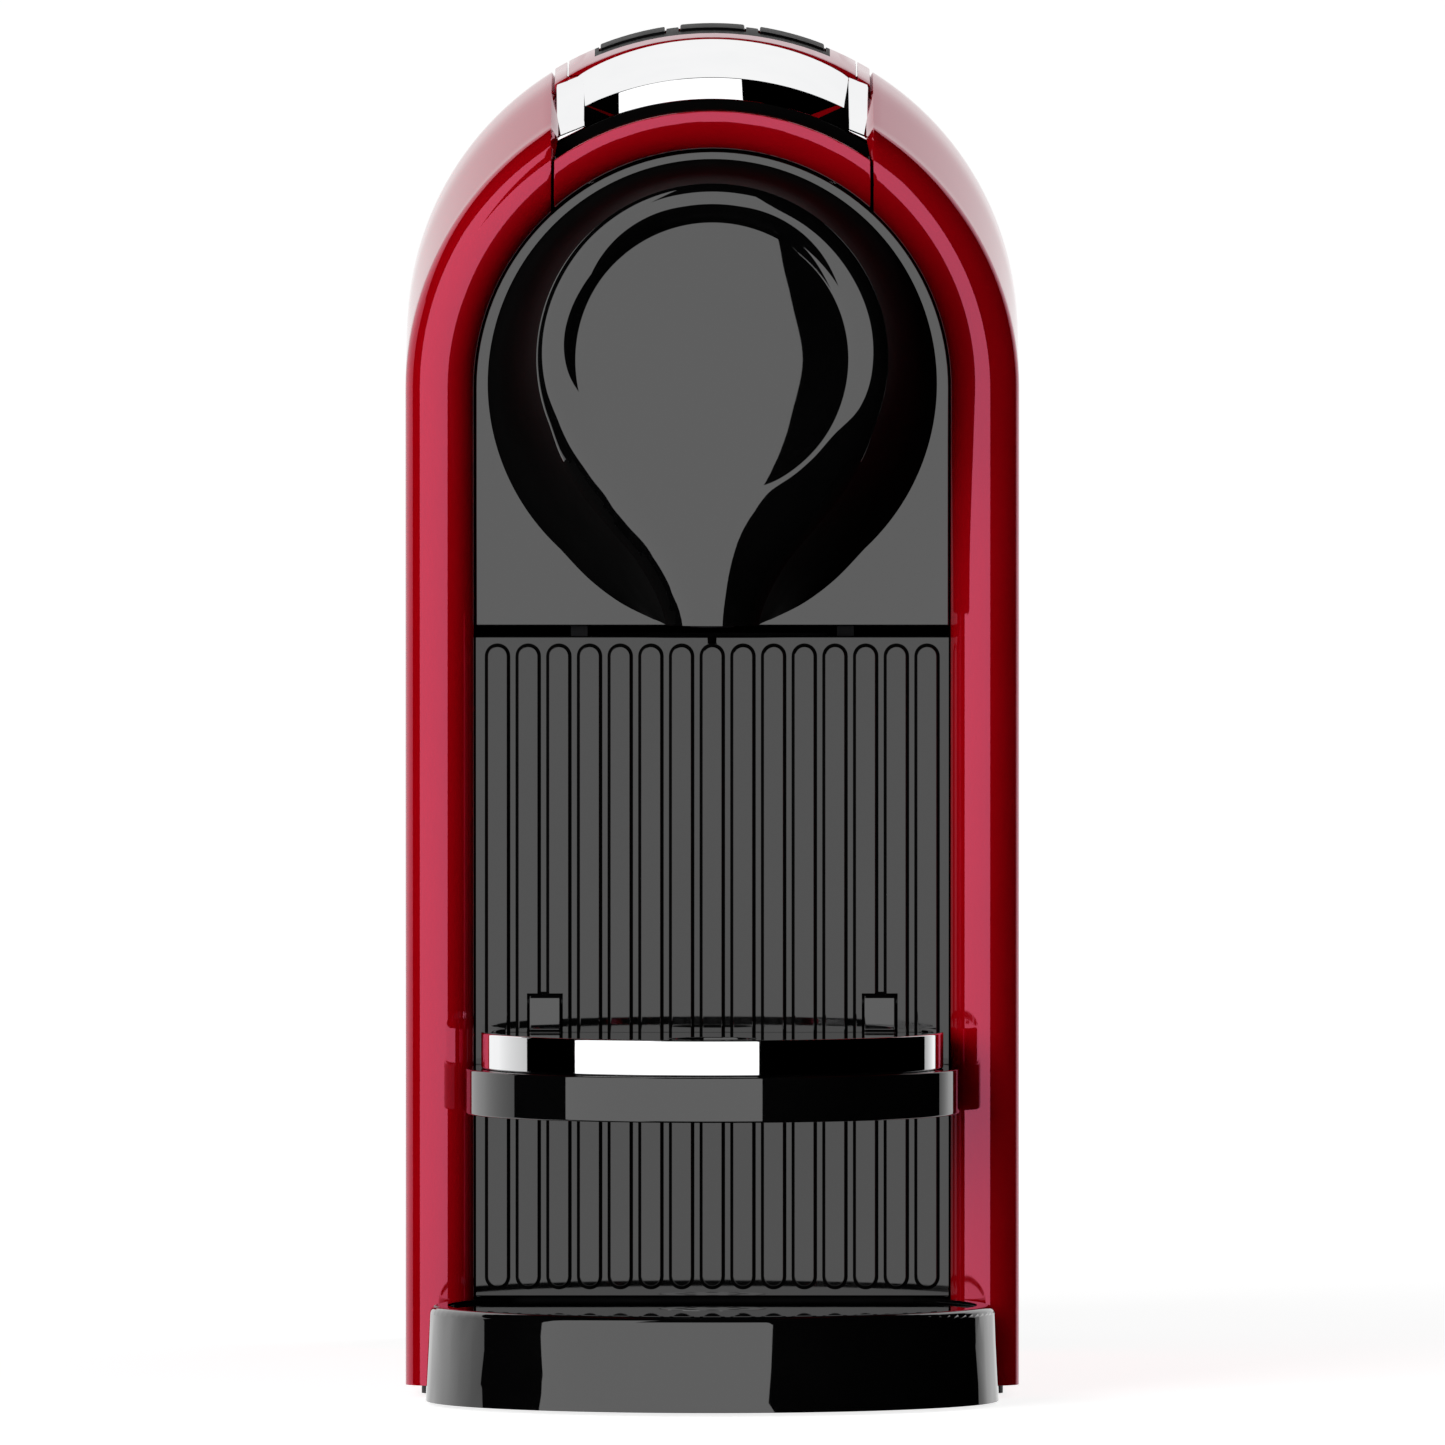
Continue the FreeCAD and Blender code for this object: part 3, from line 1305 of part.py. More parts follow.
for end, start in (("front", mm.pump_front_y + mm.saddle_inset),
                   ("rear", pump_back - mm.saddle_inset - mm.saddle_length)):
    saddle = block(
        f"saddle_{end}_block", (pump_x - mm.saddle_half, pump_x + mm.saddle_half),
        (start, start + mm.saddle_length), (chassis_top, mm.pump_height - mm.pump_radius / 2))
    saddles.append(cut(f"saddle_{end}", saddle, saddle_bore))
sub_part(group("pump_saddles", saddles), "pump_saddles")

# Heater block on four posts, with its thermostat
heater_back = mm.meter_y - mm.meter_radius - mm.meter_gap
heater_y = heater_back - mm.heater_length
heater_low = chassis_top + mm.heater_lift
heater_top = heater_low + mm.heater_height
heater_right = mm.heater_x + mm.heater_width
heater_solids = [block(
    "heater_block", (mm.heater_x, heater_right), (heater_y, heater_back), (heater_low, heater_top))]
heater_corners = [(x, y) for x in (mm.heater_x, heater_right) for y in (heater_y, heater_back)]
for index, (x, y) in enumerate(heater_corners):
    toward_x = mm.heater_post_radius * (1 if x is mm.heater_x else -1)
    toward_y = mm.heater_post_radius * (1 if y is heater_y else -1)
    heater_solids.append(rod(
        f"heater_post{index}", "z", mm.heater_post_radius, (chassis_top, heater_low),
        x=x + toward_x, y=y + toward_y))
sub_part(join("thermoblock", *heater_solids), "thermoblock")
heater_middle = mm.heater_x + mm.heater_width / 2
sub_part(rod(
    "thermostat", "z", mm.thermostat_radius, (heater_top, heater_top + mm.thermostat_height),
    x=heater_middle, y=heater_back - mm.thermostat_radius), "thermostat")

# Flow meter and the hoses between the tank port, pump, heater and feed tube
sub_part(rod(
    "flow_meter", "z", mm.meter_radius, (chassis_top, chassis_top + mm.meter_height),
    x=mm.meter_x, y=mm.meter_y), "flow_meter")
meter_back = mm.meter_y + mm.meter_radius
sub_part(rod(
    "inlet_hose", "y", mm.hose_radius, (meter_back + mm.fit_gap, tank_front - mm.fit_gap),
    x=mm.meter_x, z=port_height), "inlet_hose")
meter_top = chassis_top + mm.meter_height
hose_top = nipple_top + mm.hose_bend * 2
pump_route = [
    (mm.meter_x, mm.meter_y, meter_top),
    (mm.meter_x, mm.meter_y, hose_top),
    (pump_x, mm.meter_y, hose_top),
    (pump_x, mm.meter_y, nipple_top),
]
sub_part(tube("pump_hose", pump_route, mm.hose_radius, mm.hose_bend), "pump_hose")
heater_route = [
    (pump_x, outlet_y, nipple_top),
    (pump_x, outlet_y, hose_top),
    (heater_middle, outlet_y, hose_top),
    (heater_middle, outlet_y, heater_top),
]
sub_part(tube("heater_hose", heater_route, mm.hose_radius, mm.hose_bend / 2), "heater_hose")
brew_route = [
    (heater_middle, mm.hose_rise_y, heater_top),
    (heater_middle, mm.hose_rise_y, axis),
    (zero, mm.hose_rise_y, axis),
    (zero, rear_plate_back, axis),
]
sub_part(tube("brew_hose", brew_route, mm.hose_radius, mm.hose_bend), "brew_hose")

# Control board on standoffs behind the rear bay
board_front = rear_frame_front - mm.standoff_length - mm.control_board_thickness
board_back = rear_frame_front - mm.standoff_length
board_half = mm.control_board_width / 2
board_top = mm.control_board_bottom + mm.control_board_height
sub_part(block(
    "control_board", both(board_half), (board_front, board_back), (mm.control_board_bottom, board_top)),
    "control_board")
standoffs = []
for index, (x, z) in enumerate(
        (x, z) for x in (-board_half + mm.standoff_inset, board_half - mm.standoff_inset)
        for z in (mm.control_board_bottom + mm.standoff_inset, board_top - mm.standoff_inset)):
    standoffs.append(rod(
        f"standoff{index}", "y", mm.standoff_radius, (board_back, rear_frame_front), x=x, z=z))
sub_part(group("board_standoffs", standoffs), "board_standoffs")

# Tank seat with the valve socket and the cord gland
seat_front = shell_back + mm.fit_gap
seat_back = tank_back - mm.tank_wall
tank_half = half - mm.tank_inset
gland_x = mm.gland_inset - tank_half
socket_radius = mm.valve_radius + mm.fit_gap
seal_outer = socket_radius + mm.seal_ring_wall
seat_holes = [
    rod("valve_socket", "z", socket_radius,
        (mm.tank_bottom - mm.valve_length, mm.tank_bottom), y=mm.valve_y),
    rod("seal_seat", "z", seal_outer + mm.running_gap, (mm.seat_top - mm.seal_ring_depth, mm.tank_bottom),
        y=mm.valve_y),
    rod("gland_seat", "y", mm.gland_radius + mm.running_gap, (tank_back - mm.gland_length, tank_back),
        x=gland_x, z=mm.gland_height),
    rod("port_seat", "y", mm.hose_radius + mm.fit_gap, (seat_front, mm.valve_y),
        x=mm.meter_x, z=port_height),
]
seat_blank = block("seat_block", both(frame_side), (seat_front, seat_back), (chassis_top, mm.seat_top))
sub_part(cut("tank_seat", seat_blank, *seat_holes), "tank_seat")
sub_part(cut(
    "seat_seal",
    rod("seal_ring", "z", seal_outer, (mm.seat_top - mm.seal_ring_depth, mm.seat_top), y=mm.valve_y),
    rod("seal_bore", "z", socket_radius, (zero, mm.tank_bottom), y=mm.valve_y)), "seat_seal")
sub_part(cut(
    "cord_gland",
    rod("gland_body", "y", mm.gland_radius, (tank_back - mm.gland_length, tank_back),
        x=gland_x, z=mm.gland_height),
    rod("gland_hole", "y", mm.gland_bore, (tank_back - mm.gland_length, tank_back),
        x=gland_x, z=mm.gland_height)), "cord_gland")

# Water tank: open arch box with hinge ears at its rear rim
tank_inner = tank_half - mm.tank_wall
below_rim = block("below_rim", both(tank_half), (tank_front, tank_back), (zero, mm.tank_rim))
tank_blank = meet(
    "tank_blank",
    arch_slab("tank_outside", tank_half, rear_axis, mm.tank_bottom, (tank_front, tank_back)), below_rim)
tank_hollow = arch_slab(
    "tank_hollow", tank_inner, rear_axis, mm.tank_bottom + mm.tank_wall,
    (tank_front + mm.tank_wall, tank_back - mm.tank_wall))
lid_hinge_y = tank_back - mm.lid_hinge_inset
lid_hinge_z = mm.tank_rim + mm.lid_hinge_rise
ear_inner = mm.lid_barrel_half + mm.lid_ear_gap
ear_outer = ear_inner + mm.lid_ear_width
ears = []
ear_clear = []
for side, sign in (("right", 1), ("left", -1)):
    span = sorted((ear_inner * sign, ear_outer * sign), key=float)
    ears.append(block(
        f"ear_{side}_foot", span, (tank_back - mm.lid_hinge_inset * 2, tank_back),
        (mm.tank_rim - mm.cut_margin, lid_hinge_z)))
    ears.append(rod(f"ear_{side}_eye", "x", mm.lid_hinge_inset, span, y=lid_hinge_y, z=lid_hinge_z))
    wide = (span[0] - mm.lid_ear_gap, span[1] + mm.lid_ear_gap)
    reach = mm.lid_hinge_inset + mm.lid_ear_gap
    ear_clear.append(block(
        f"ear_{side}_clear", wide, (lid_hinge_y - reach, tank_back + mm.cut_margin),
        (mm.tank_rim, lid_hinge_z + reach)))
tank_holes = [
    rod("valve_hole", "z", mm.valve_radius + mm.running_gap,
        (zero, mm.tank_bottom + mm.tank_wall + mm.cut_margin), y=mm.valve_y),
    rod("ear_bore", "x", mm.lid_pin_radius + mm.running_gap / 2, both(ear_outer),
        y=lid_hinge_y, z=lid_hinge_z),
]
tank_open = cut("tank_open", tank_blank, tank_hollow)
sub_part(cut("water_tank", join("tank_with_ears", tank_open, *ears), *tank_holes), "water_tank")

valve_low = mm.tank_bottom - mm.valve_length + mm.fit_gap
valve_top = mm.tank_bottom + mm.tank_wall
valve_stem = rod("valve_stem", "z", mm.valve_radius, (valve_low, valve_top), y=mm.valve_y)
valve_cap = rod(
    "valve_cap", "z", mm.valve_radius + mm.valve_head, (valve_top, valve_top + mm.valve_head), y=mm.valve_y)
sub_part(cut(
    "tank_valve", join("valve_blank", valve_stem, valve_cap),
    rod("valve_bore", "z", mm.valve_radius / 2, (zero, mm.tank_rim), y=mm.valve_y)), "tank_valve")

# Tank lid: an arch cap with a hinge barrel
lid_low = mm.tank_rim + mm.lid_gap
lid_shell = cut(
    "lid_shell",
    arch_slab("lid_outside", tank_half, rear_axis, mm.tank_bottom, (tank_front, tank_back)),
    arch_slab("lid_hollow", tank_inner, rear_axis, mm.tank_bottom,
              (tank_front + mm.tank_wall, tank_back - mm.tank_wall)),
    block("lid_below", both(tank_half), (tank_front, tank_back), (zero, lid_low)),
    block("lid_hinge_clear", both(tank_half), (tank_back - mm.lid_hinge_inset * 2, tank_back),
          (zero, lid_hinge_z)),
    *ear_clear)
lid_barrel = rod(
    "lid_barrel", "x", mm.lid_barrel_radius, both(mm.lid_barrel_half), y=lid_hinge_y, z=lid_hinge_z)
lid_bore = rod(
    "lid_bore", "x", mm.lid_pin_radius + mm.running_gap, both(mm.lid_barrel_half),
    y=lid_hinge_y, z=lid_hinge_z)
sub_part(cut("tank_lid", join("lid_with_barrel", lid_shell, lid_barrel), lid_bore), "tank_lid")
sub_part(rod("lid_pin", "x", mm.lid_pin_radius, both(ear_outer), y=lid_hinge_y, z=lid_hinge_z), "lid_pin")

# Checks and export
doc.recompute()
for item in doc.Objects:
    if "Invalid" in item.State or "Error" in item.State:
        raise RuntimeError(f"{item.Label} failed: {item.State}")
for item in sub_parts:
    if item.Shape.isNull() or not item.Shape.isValid() or item.Shape.Volume <= 0:
        raise RuntimeError(f"{item.Label} has no valid shape")
os.makedirs("parts", exist_ok=True)
for item in sub_parts:
    item.Shape.exportStep(f"parts/{item.Label}.step")
    box = item.Shape.BoundBox
    print(
        f"{item.Label}: {len(item.Shape.Solids)} solid(s), {item.Shape.Volume:.0f} mm3,"
        f" x {box.XMin:.1f}..{box.XMax:.1f} y {box.YMin:.1f}..{box.YMax:.1f}"
        f" z {box.ZMin:.1f}..{box.ZMax:.1f}")
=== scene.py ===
import bmesh
import bpy
import math
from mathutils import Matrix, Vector


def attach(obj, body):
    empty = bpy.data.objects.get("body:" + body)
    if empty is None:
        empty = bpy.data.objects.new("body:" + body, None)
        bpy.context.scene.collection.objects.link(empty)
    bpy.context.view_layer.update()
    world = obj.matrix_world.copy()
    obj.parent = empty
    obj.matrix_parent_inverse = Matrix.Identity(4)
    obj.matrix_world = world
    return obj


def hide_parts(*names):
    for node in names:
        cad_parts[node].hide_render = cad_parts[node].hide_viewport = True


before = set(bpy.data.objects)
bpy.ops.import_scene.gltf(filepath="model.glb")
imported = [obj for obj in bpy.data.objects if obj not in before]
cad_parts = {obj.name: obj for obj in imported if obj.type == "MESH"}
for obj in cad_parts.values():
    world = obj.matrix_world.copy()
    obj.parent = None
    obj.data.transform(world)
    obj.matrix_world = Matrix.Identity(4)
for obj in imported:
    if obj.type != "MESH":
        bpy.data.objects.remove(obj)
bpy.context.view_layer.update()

mm = 0.001
near = 0.01  # in mm, for places that should be the same
print("frame loaded:", len(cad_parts), "nodes")


# Small helpers for working in edit mode
def at(x, y, z):
    return Vector((x, y, z)) * mm


def deselectAll():
    if bpy.context.mode != "OBJECT":
        bpy.ops.object.mode_set(mode="OBJECT")
    bpy.ops.object.select_all(action="DESELECT")


def useOnly(piece):
    deselectAll()
    piece.select_set(True)
    bpy.context.view_layer.objects.active = piece


def openMesh(piece):
    useOnly(piece)
    bpy.ops.object.mode_set(mode="EDIT")
    bpy.ops.mesh.select_mode(type="VERT")
    bpy.ops.mesh.select_all(action="SELECT")


def named(piece, name):
    piece.name = name
    piece.data.name = name
    return piece


def pick(piece, kind, test):
    bpy.ops.mesh.select_mode(type=kind)
    bpy.ops.mesh.select_all(action="DESELECT")
    sheet = bmesh.from_edit_mesh(piece.data)
    for item in {"VERT": sheet.verts, "EDGE": sheet.edges, "FACE": sheet.faces}[kind]:
        item.select_set(bool(test(item)))
    sheet.select_flush_mode()
    bmesh.update_edit_mesh(piece.data)


def pickVerts(piece, test):  # the test gets the place in mm
    pick(piece, "VERT", lambda vert: test(vert.co / mm))


def pickEdges(piece, test):  # the test gets both ends in mm
    pick(piece, "EDGE", lambda edge: test(edge.verts[0].co / mm, edge.verts[1].co / mm))


def pickFaces(piece, test):  # the test gets the middle in mm
    pick(piece, "FACE", lambda face: test(face.calc_center_median() / mm))


def extrudeBy(step):
    bpy.ops.mesh.extrude_region_move(TRANSFORM_OT_translate={"value": step})


def faceOutward():
    bpy.ops.mesh.select_all(action="SELECT")
    bpy.ops.mesh.normals_make_consistent(inside=False)


def flipIfTurned(piece, outward):  # an open skin can come out turned
    useOnly(piece)
    outermost = max(piece.data.polygons, key=lambda face: outward.dot(face.center))
    if outward.dot(outermost.normal) < 0:
        openMesh(piece)
        bpy.ops.mesh.flip_normals()


def drawLine(name, points):  # one point, extruded from place to place
    deselectAll()
    bpy.ops.mesh.primitive_plane_add(size=mm)
    piece = named(bpy.context.object, name)
    openMesh(piece)
    bpy.ops.mesh.merge(type="CENTER")
    bpy.ops.transform.translate(value=points[0])
    for before, after in zip(points, points[1:]):
        extrudeBy(after - before)
    bpy.ops.mesh.select_all(action="SELECT")
    return piece


def placeKey(place):
    return tuple(round(part, 7) for part in place)


def growRings(name, rings, closeEnd):  # a ring extruded to the next ring's places
    deselectAll()
    bpy.ops.mesh.primitive_circle_add(vertices=len(rings[0]), radius=mm)
    piece = named(bpy.context.object, name)
    openMesh(piece)
    sheet = bmesh.from_edit_mesh(piece.data)
    for vert, place in zip(sheet.verts, rings[0]):
        vert.co = place
    bmesh.update_edit_mesh(piece.data)
    for before, after in zip(rings, rings[1:]):
        index = {placeKey(place): number for number, place in enumerate(before)}
        bpy.ops.mesh.extrude_region_move()
        sheet = bmesh.from_edit_mesh(piece.data)
        for vert in sheet.verts:
            if vert.select:
                key = placeKey(vert.co)
                if key not in index:
                    key = min(index, key=lambda other: (Vector(other) - vert.co).length)
                vert.co = after[index[key]]
        bmesh.update_edit_mesh(piece.data)
    if closeEnd == "fill":
        bpy.ops.mesh.edge_face_add()
    elif closeEnd == "point":
        bpy.ops.mesh.merge(type="CENTER")
    return piece


def applied(piece, kind, **settings):
    useOnly(piece)
    modifier = piece.modifiers.new(kind.lower(), kind)
    for key, value in settings.items():
        setattr(modifier, key, value)
    bpy.ops.object.modifier_apply(modifier=modifier.name)
    return piece


def softEdges(piece, width, segments=2, angle=35):
    return applied(piece, "BEVEL", width=width * mm, segments=segments, limit_method="ANGLE",
                   angle_limit=math.radians(angle), use_clamp_overlap=True)


def carve(piece, cutter):
    applied(piece, "BOOLEAN", operation="DIFFERENCE", object=cutter, solver="EXACT")
    bpy.data.objects.remove(cutter)
    return piece


def slab(name, low, high):  # a block between two corners in mm
    deselectAll()
    middle = [(a + b) / 2 for a, b in zip(low, high)]
    bpy.ops.mesh.primitive_cube_add(size=1)
    piece = named(bpy.context.object, name)
    openMesh(piece)
    bpy.ops.transform.resize(value=[(b - a) * mm for a, b in zip(low, high)])
    bpy.ops.transform.translate(value=at(*middle))
    bpy.ops.object.mode_set(mode="OBJECT")
    return piece


def mergeInto(piece, *others):
    useOnly(piece)
    for other in others:
        other.select_set(True)
    bpy.ops.object.join()
    return piece


def softenedCopy(name, node, width, segments=2):  # the CAD shape with its edges broken
    deselectAll()
    piece = bpy.data.objects.new(name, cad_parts[node].data.copy())
    piece.data.name = name
    bpy.context.scene.collection.objects.link(piece)
    openMesh(piece)
    bpy.ops.mesh.remove_doubles(threshold=0.000002)
    bpy.ops.mesh.dissolve_limited(angle_limit=math.radians(0.4))
    bpy.ops.object.mode_set(mode="OBJECT")
    return softEdges(piece, width, segments)


def settle(piece, body, material, *nodes, angle=30, slot=None, flat=True):  # shading, finish and body
    openMesh(piece)
    bpy.ops.mesh.remove_doubles(threshold=0.000001)
    useOnly(piece)
    bpy.ops.object.shade_smooth_by_angle(angle=math.radians(angle))
    if flat:
        applied(piece, "WEIGHTED_NORMAL", keep_sharp=True, weight=100)
    piece.data.materials.clear()
    piece.data.materials.append(material)
    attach(piece, body)
    if nodes:
        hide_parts(*nodes)
    print("piece:", piece.name, len(piece.data.polygons), "faces")
    return piece


def secondFinish(piece, material, test):  # the test gets a face's middle in mm and its normal
    piece.data.materials.append(material)
    for face in piece.data.polygons:
        face.material_index = int(test(face.center / mm, face.normal))


# Lines and curves in plain numbers
def blend(first, last, share):
    return tuple(a + (b - a) * share for a, b in zip(first, last))


def resample(points, count):  # even steps along a line of (x, z)
    lengths = [0]
    for a, b in zip(points, points[1:]):
        lengths.append(lengths[-1] + math.dist(a, b))
    made, span = [], 0
    for step in range(count + 1):
        goal = lengths[-1] * step / count
        while span < len(points) - 2 and lengths[span + 1] < goal:
            span += 1
        share = (goal - lengths[span]) / max(lengths[span + 1] - lengths[span], 1e-9)
        made.append(blend(points[span], points[span + 1], share))
    return made


def smoothCurve(points, perSpan=8):  # Catmull-Rom through the points
    ends = [points[0], *points, points[-1]]
    made = []
    for i in range(1, len(ends) - 2):
        p0, p1, p2, p3 = ends[i - 1:i + 3]
        for step in range(perSpan):
            t = step / perSpan
            made.append(tuple(
                0.5 * (2 * b + (c - a) * t + (2 * a - 5 * b + 4 * c - d) * t * t
                       + (3 * b - a - 3 * c + d) * t ** 3)
                for a, b, c, d in zip(p0, p1, p2, p3)))
    made.append(points[-1])
    return made


def between(table, x):  # straight steps through a table of (x, values)
    if x <= table[0][0]:
        return table[0][1]
    for (xa, va), (xb, vb) in zip(table, table[1:]):
        if x <= xb:
            return blend(va, vb, (x - xa) / (xb - xa))
    return table[-1][1]


def easeStep(low, high, x):
    t = min(1, max(0, (x - low) / (high - low)))
    return t * t * (3 - 2 * t)


# Finishes
def setSockets(node, values):
    for socket, value in values.items():
        node.inputs[socket].default_value = value


def addNode(tree, kind, values=None, operation=None):
    made = tree.nodes.new(f"ShaderNode{kind}")
    if operation:
        made.operation = operation
    setSockets(made, values or {})
    return made


def wire(tree, source, output, target, socket):
    tree.links.new(source.outputs[output], target.inputs[socket])


def newMaterial(name):
    made = bpy.data.materials.new(name)
    made.use_nodes = True
    return made, made.node_tree, made.node_tree.nodes["Principled BSDF"]


def addNoise(tree, scale, detail):  # clouds that stay on the piece
    place = addNode(tree, "TexCoord")
    cloud = addNode(tree, "TexNoise", {"Scale": scale, "Detail": detail})
    wire(tree, place, "Object", cloud, "Vector")
    return cloud


def addShade(tree, cloud, colours, stops=(0, 1)):
    shade = addNode(tree, "ValToRGB")
    for element, colour, stop in zip(shade.color_ramp.elements, colours, stops):
        element.position = stop
        element.color = (*colour, 1)
    wire(tree, cloud, "Fac", shade, "Fac")
    return shade


surface = {
    "toneScale": 60, "toneDetail": 4, "toneStops": (0.3, 0.7), "smearScale": 180, "smearDetail": 3,
    "peelDetail": 2, "peelReach": 0.0002,
}


def finish(name, colour, tone, rough, roughSpread, peelScale=900, peel=0.02, metal=0.0, ior=1.5,
           clear=0.0, specular=0.5, glossTint=(1, 1, 1)):
    made, tree, shader = newMaterial(name)
    cloud = addNoise(tree, surface["toneScale"], surface["toneDetail"])
    shade = addShade(tree, cloud, (colour, tone), surface["toneStops"])
    wire(tree, shade, "Color", shader, "Base Color")
    smear = addNoise(tree, surface["smearScale"], surface["smearDetail"])
    spread = addNode(tree, "MapRange", {
        "To Min": max(0, rough - roughSpread), "To Max": rough + roughSpread})
    wire(tree, smear, "Fac", spread, "Value")
    wire(tree, spread, "Result", shader, "Roughness")
    grain = addNoise(tree, peelScale, surface["peelDetail"])
    bump = addNode(tree, "Bump", {"Strength": peel, "Distance": surface["peelReach"]})
    wire(tree, grain, "Fac", bump, "Height")
    wire(tree, bump, "Normal", shader, "Normal")
    setSockets(shader, {
        "Metallic": metal, "IOR": ior, "Specular IOR Level": specular, "Specular Tint": (*glossTint, 1),
        "Transmission Weight": clear})
    return made


redLacquer = finish("redLacquer", (0.47, 0.0004, 0.0045), (0.50, 0.0006, 0.006), 0.035, 0.012,
                    peel=0.003, peelScale=260, ior=1.95, specular=1.0, glossTint=(1, 0.2, 0.36))
blackGloss = finish("blackGloss", (0.0016, 0.0016, 0.0017), (0.0024, 0.0024, 0.0025), 0.022, 0.010,
                    peel=0.0015, peelScale=260, specular=1.07)
flutedBlack = finish("flutedBlack", (0.0018, 0.0018, 0.0019), (0.003, 0.003, 0.003), 0.024, 0.010,
                     peel=0.0015, peelScale=260, specular=0.79)
blackMatte = finish("blackMatte", (0.012, 0.012, 0.013), (0.020, 0.020, 0.021), 0.48, 0.06,
                    peel=0.12, peelScale=2600)
chromePlate = finish("chromePlate", (0.86, 0.865, 0.875), (0.90, 0.90, 0.905), 0.025, 0.012,
                     peel=0.002, peelScale=300, metal=1.0)
# Dull black: the buttons' own colour, and painted shade on the top cover's hollow round them
buttonBlackAndPaintedHollow = finish("buttonBlackAndPaintedHollow", (0.0030, 0.0030, 0.0032), (0.0050, 0.0050, 0.0052), 0.42, 0.05,
                     peel=0.02, peelScale=1600, specular=0.02)
# A dull black: the lever liner's own colour, and painted shade on the rib outlines, the nozzle's steep skirt
# and the cheeks' inner sides
matteBlackAndPaintedShade = finish("matteBlackAndPaintedShade", (0.0016, 0.0016, 0.0016), (0.0026, 0.0026, 0.0026), 0.50, 0.05,
                     peel=0.04, peelScale=1600, specular=0.012)
darkRubber = finish("darkRubber", (0.014, 0.014, 0.014), (0.024, 0.023, 0.023), 0.62, 0.08,
                    peel=0.2, peelScale=1800)
plainSteel = finish("plainSteel", (0.52, 0.52, 0.53), (0.60, 0.60, 0.60), 0.24, 0.06,
                    peel=0.03, peelScale=1500, metal=1.0)
heaterMetal = finish("heaterMetal", (0.45, 0.45, 0.46), (0.56, 0.55, 0.54), 0.42, 0.08,
                     peel=0.12, peelScale=1200, metal=1.0)
innerPlastic = finish("innerPlastic", (0.009, 0.009, 0.010), (0.014, 0.014, 0.015), 0.46, 0.06,
                      peel=0.08, peelScale=2200, specular=0.05)
gearPlastic = finish("gearPlastic", (0.62, 0.60, 0.54), (0.70, 0.68, 0.62), 0.40, 0.06,
                     peel=0.05, peelScale=1400)
boardGreen = finish("boardGreen", (0.010, 0.085, 0.030), (0.020, 0.125, 0.045), 0.35, 0.06,
                    peel=0.05, peelScale=1200)
hoseWhite = finish("hoseWhite", (0.62, 0.63, 0.62), (0.72, 0.72, 0.71), 0.33, 0.06, peel=0.03)
tankSmoke = finish("tankSmoke", (0.10, 0.10, 0.105), (0.14, 0.14, 0.145), 0.08, 0.03,
                   peel=0.006, peelScale=300, clear=0.85)

wears = {
    redLacquer: ["outer_shell", "lever_frame", "top_cover"],
    blackGloss: ["upper_panel", "nozzle_cover", "drip_base", "drip_cover", "cup_cradle", "cup_plate",
                 "tank_lid"],
    buttonBlackAndPaintedHollow: ["button_left", "button_centre", "button_right"],
    matteBlackAndPaintedShade: ["lever_liner"],
    flutedBlack: ["drawer_front"],
    chromePlate: ["lever_handle", "cup_ring", "drip_drain", "cup_drain"],
    blackMatte: ["rear_frame", "tank_seat", "chassis_base", "cup_hinge_pins"],
    darkRubber: ["feet", "seat_seal", "carriage_seal", "cord_gland", "pump_saddles"],
    plainSteel: ["lever_shaft", "guide_rods", "feed_tube", "piercing_needles", "rail_screws",
                 "lid_pin", "thermostat"],
    heaterMetal: ["thermoblock", "pump"],
    innerPlastic: ["brew_head", "coffee_spout", "brew_frame", "capsule_chute", "bay_frame", "drawer_rails",
                   "capsule_bin", "brew_carriage", "shaft_bushes", "flow_meter"],
    gearPlastic: ["lever_pinion", "board_standoffs", "tank_valve"],
    boardGreen: ["switch_board", "control_board"],
    hoseWhite: ["inlet_hose", "pump_hose", "heater_hose", "brew_hose"],
    tankSmoke: ["water_tank"],
}
for material, nodeNames in wears.items():
    for nodeName in nodeNames:
        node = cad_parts[nodeName]
        if not node.material_slots:
            node.data.materials.append(material)
        for slot in node.material_slots:
            slot.material = material
print("finishes given to", sum(len(names) for names in wears.values()), "nodes")

# Red casing: rim bead, straight legs and the arch that rises to the crest
casing = {
    "half": 59.0, "axis": 194.2, "bottom": 2.4, "wall": 2.6, "bead": 6.6, "face": -90.0, "beadRoot": -88.0,
    "ringBack": -84.0, "slotHalf": 31.0, "slotEnd": 42.0, "beadSteps": 18, "archSteps": 80,
    "edge": 0.35, "edgeAngle": 50, "rise": [(-90, 0), (-54, 7.6), (-32, 9.5), (110, 1.0)], "easeReach": 6,
    "stations": [-86, -80, -74, -68, -63, -58, -54, -50, -46, -41, -36, -32, -28, -22, -14, 0, 20, 42, 64,
                 88, 110],
    "legSteps": [2.4, 3.0, 4.0, 7.0, 16, 40, 70, 100, 130, 160, 194.2],
}


def riseAt(y):  # how far the arch has risen at this depth, with the two bends eased
    table = [(depth, (rise,)) for depth, rise in casing["rise"]]
    reach = min(casing["easeReach"], max(0, y - table[0][0]), max(0, table[-1][0] - y))
    spots = [y + reach * share for share in (-1, -0.5, 0, 0.5, 1)]
    return sum(between(table, spot)[0] for spot in spots) / len(spots)


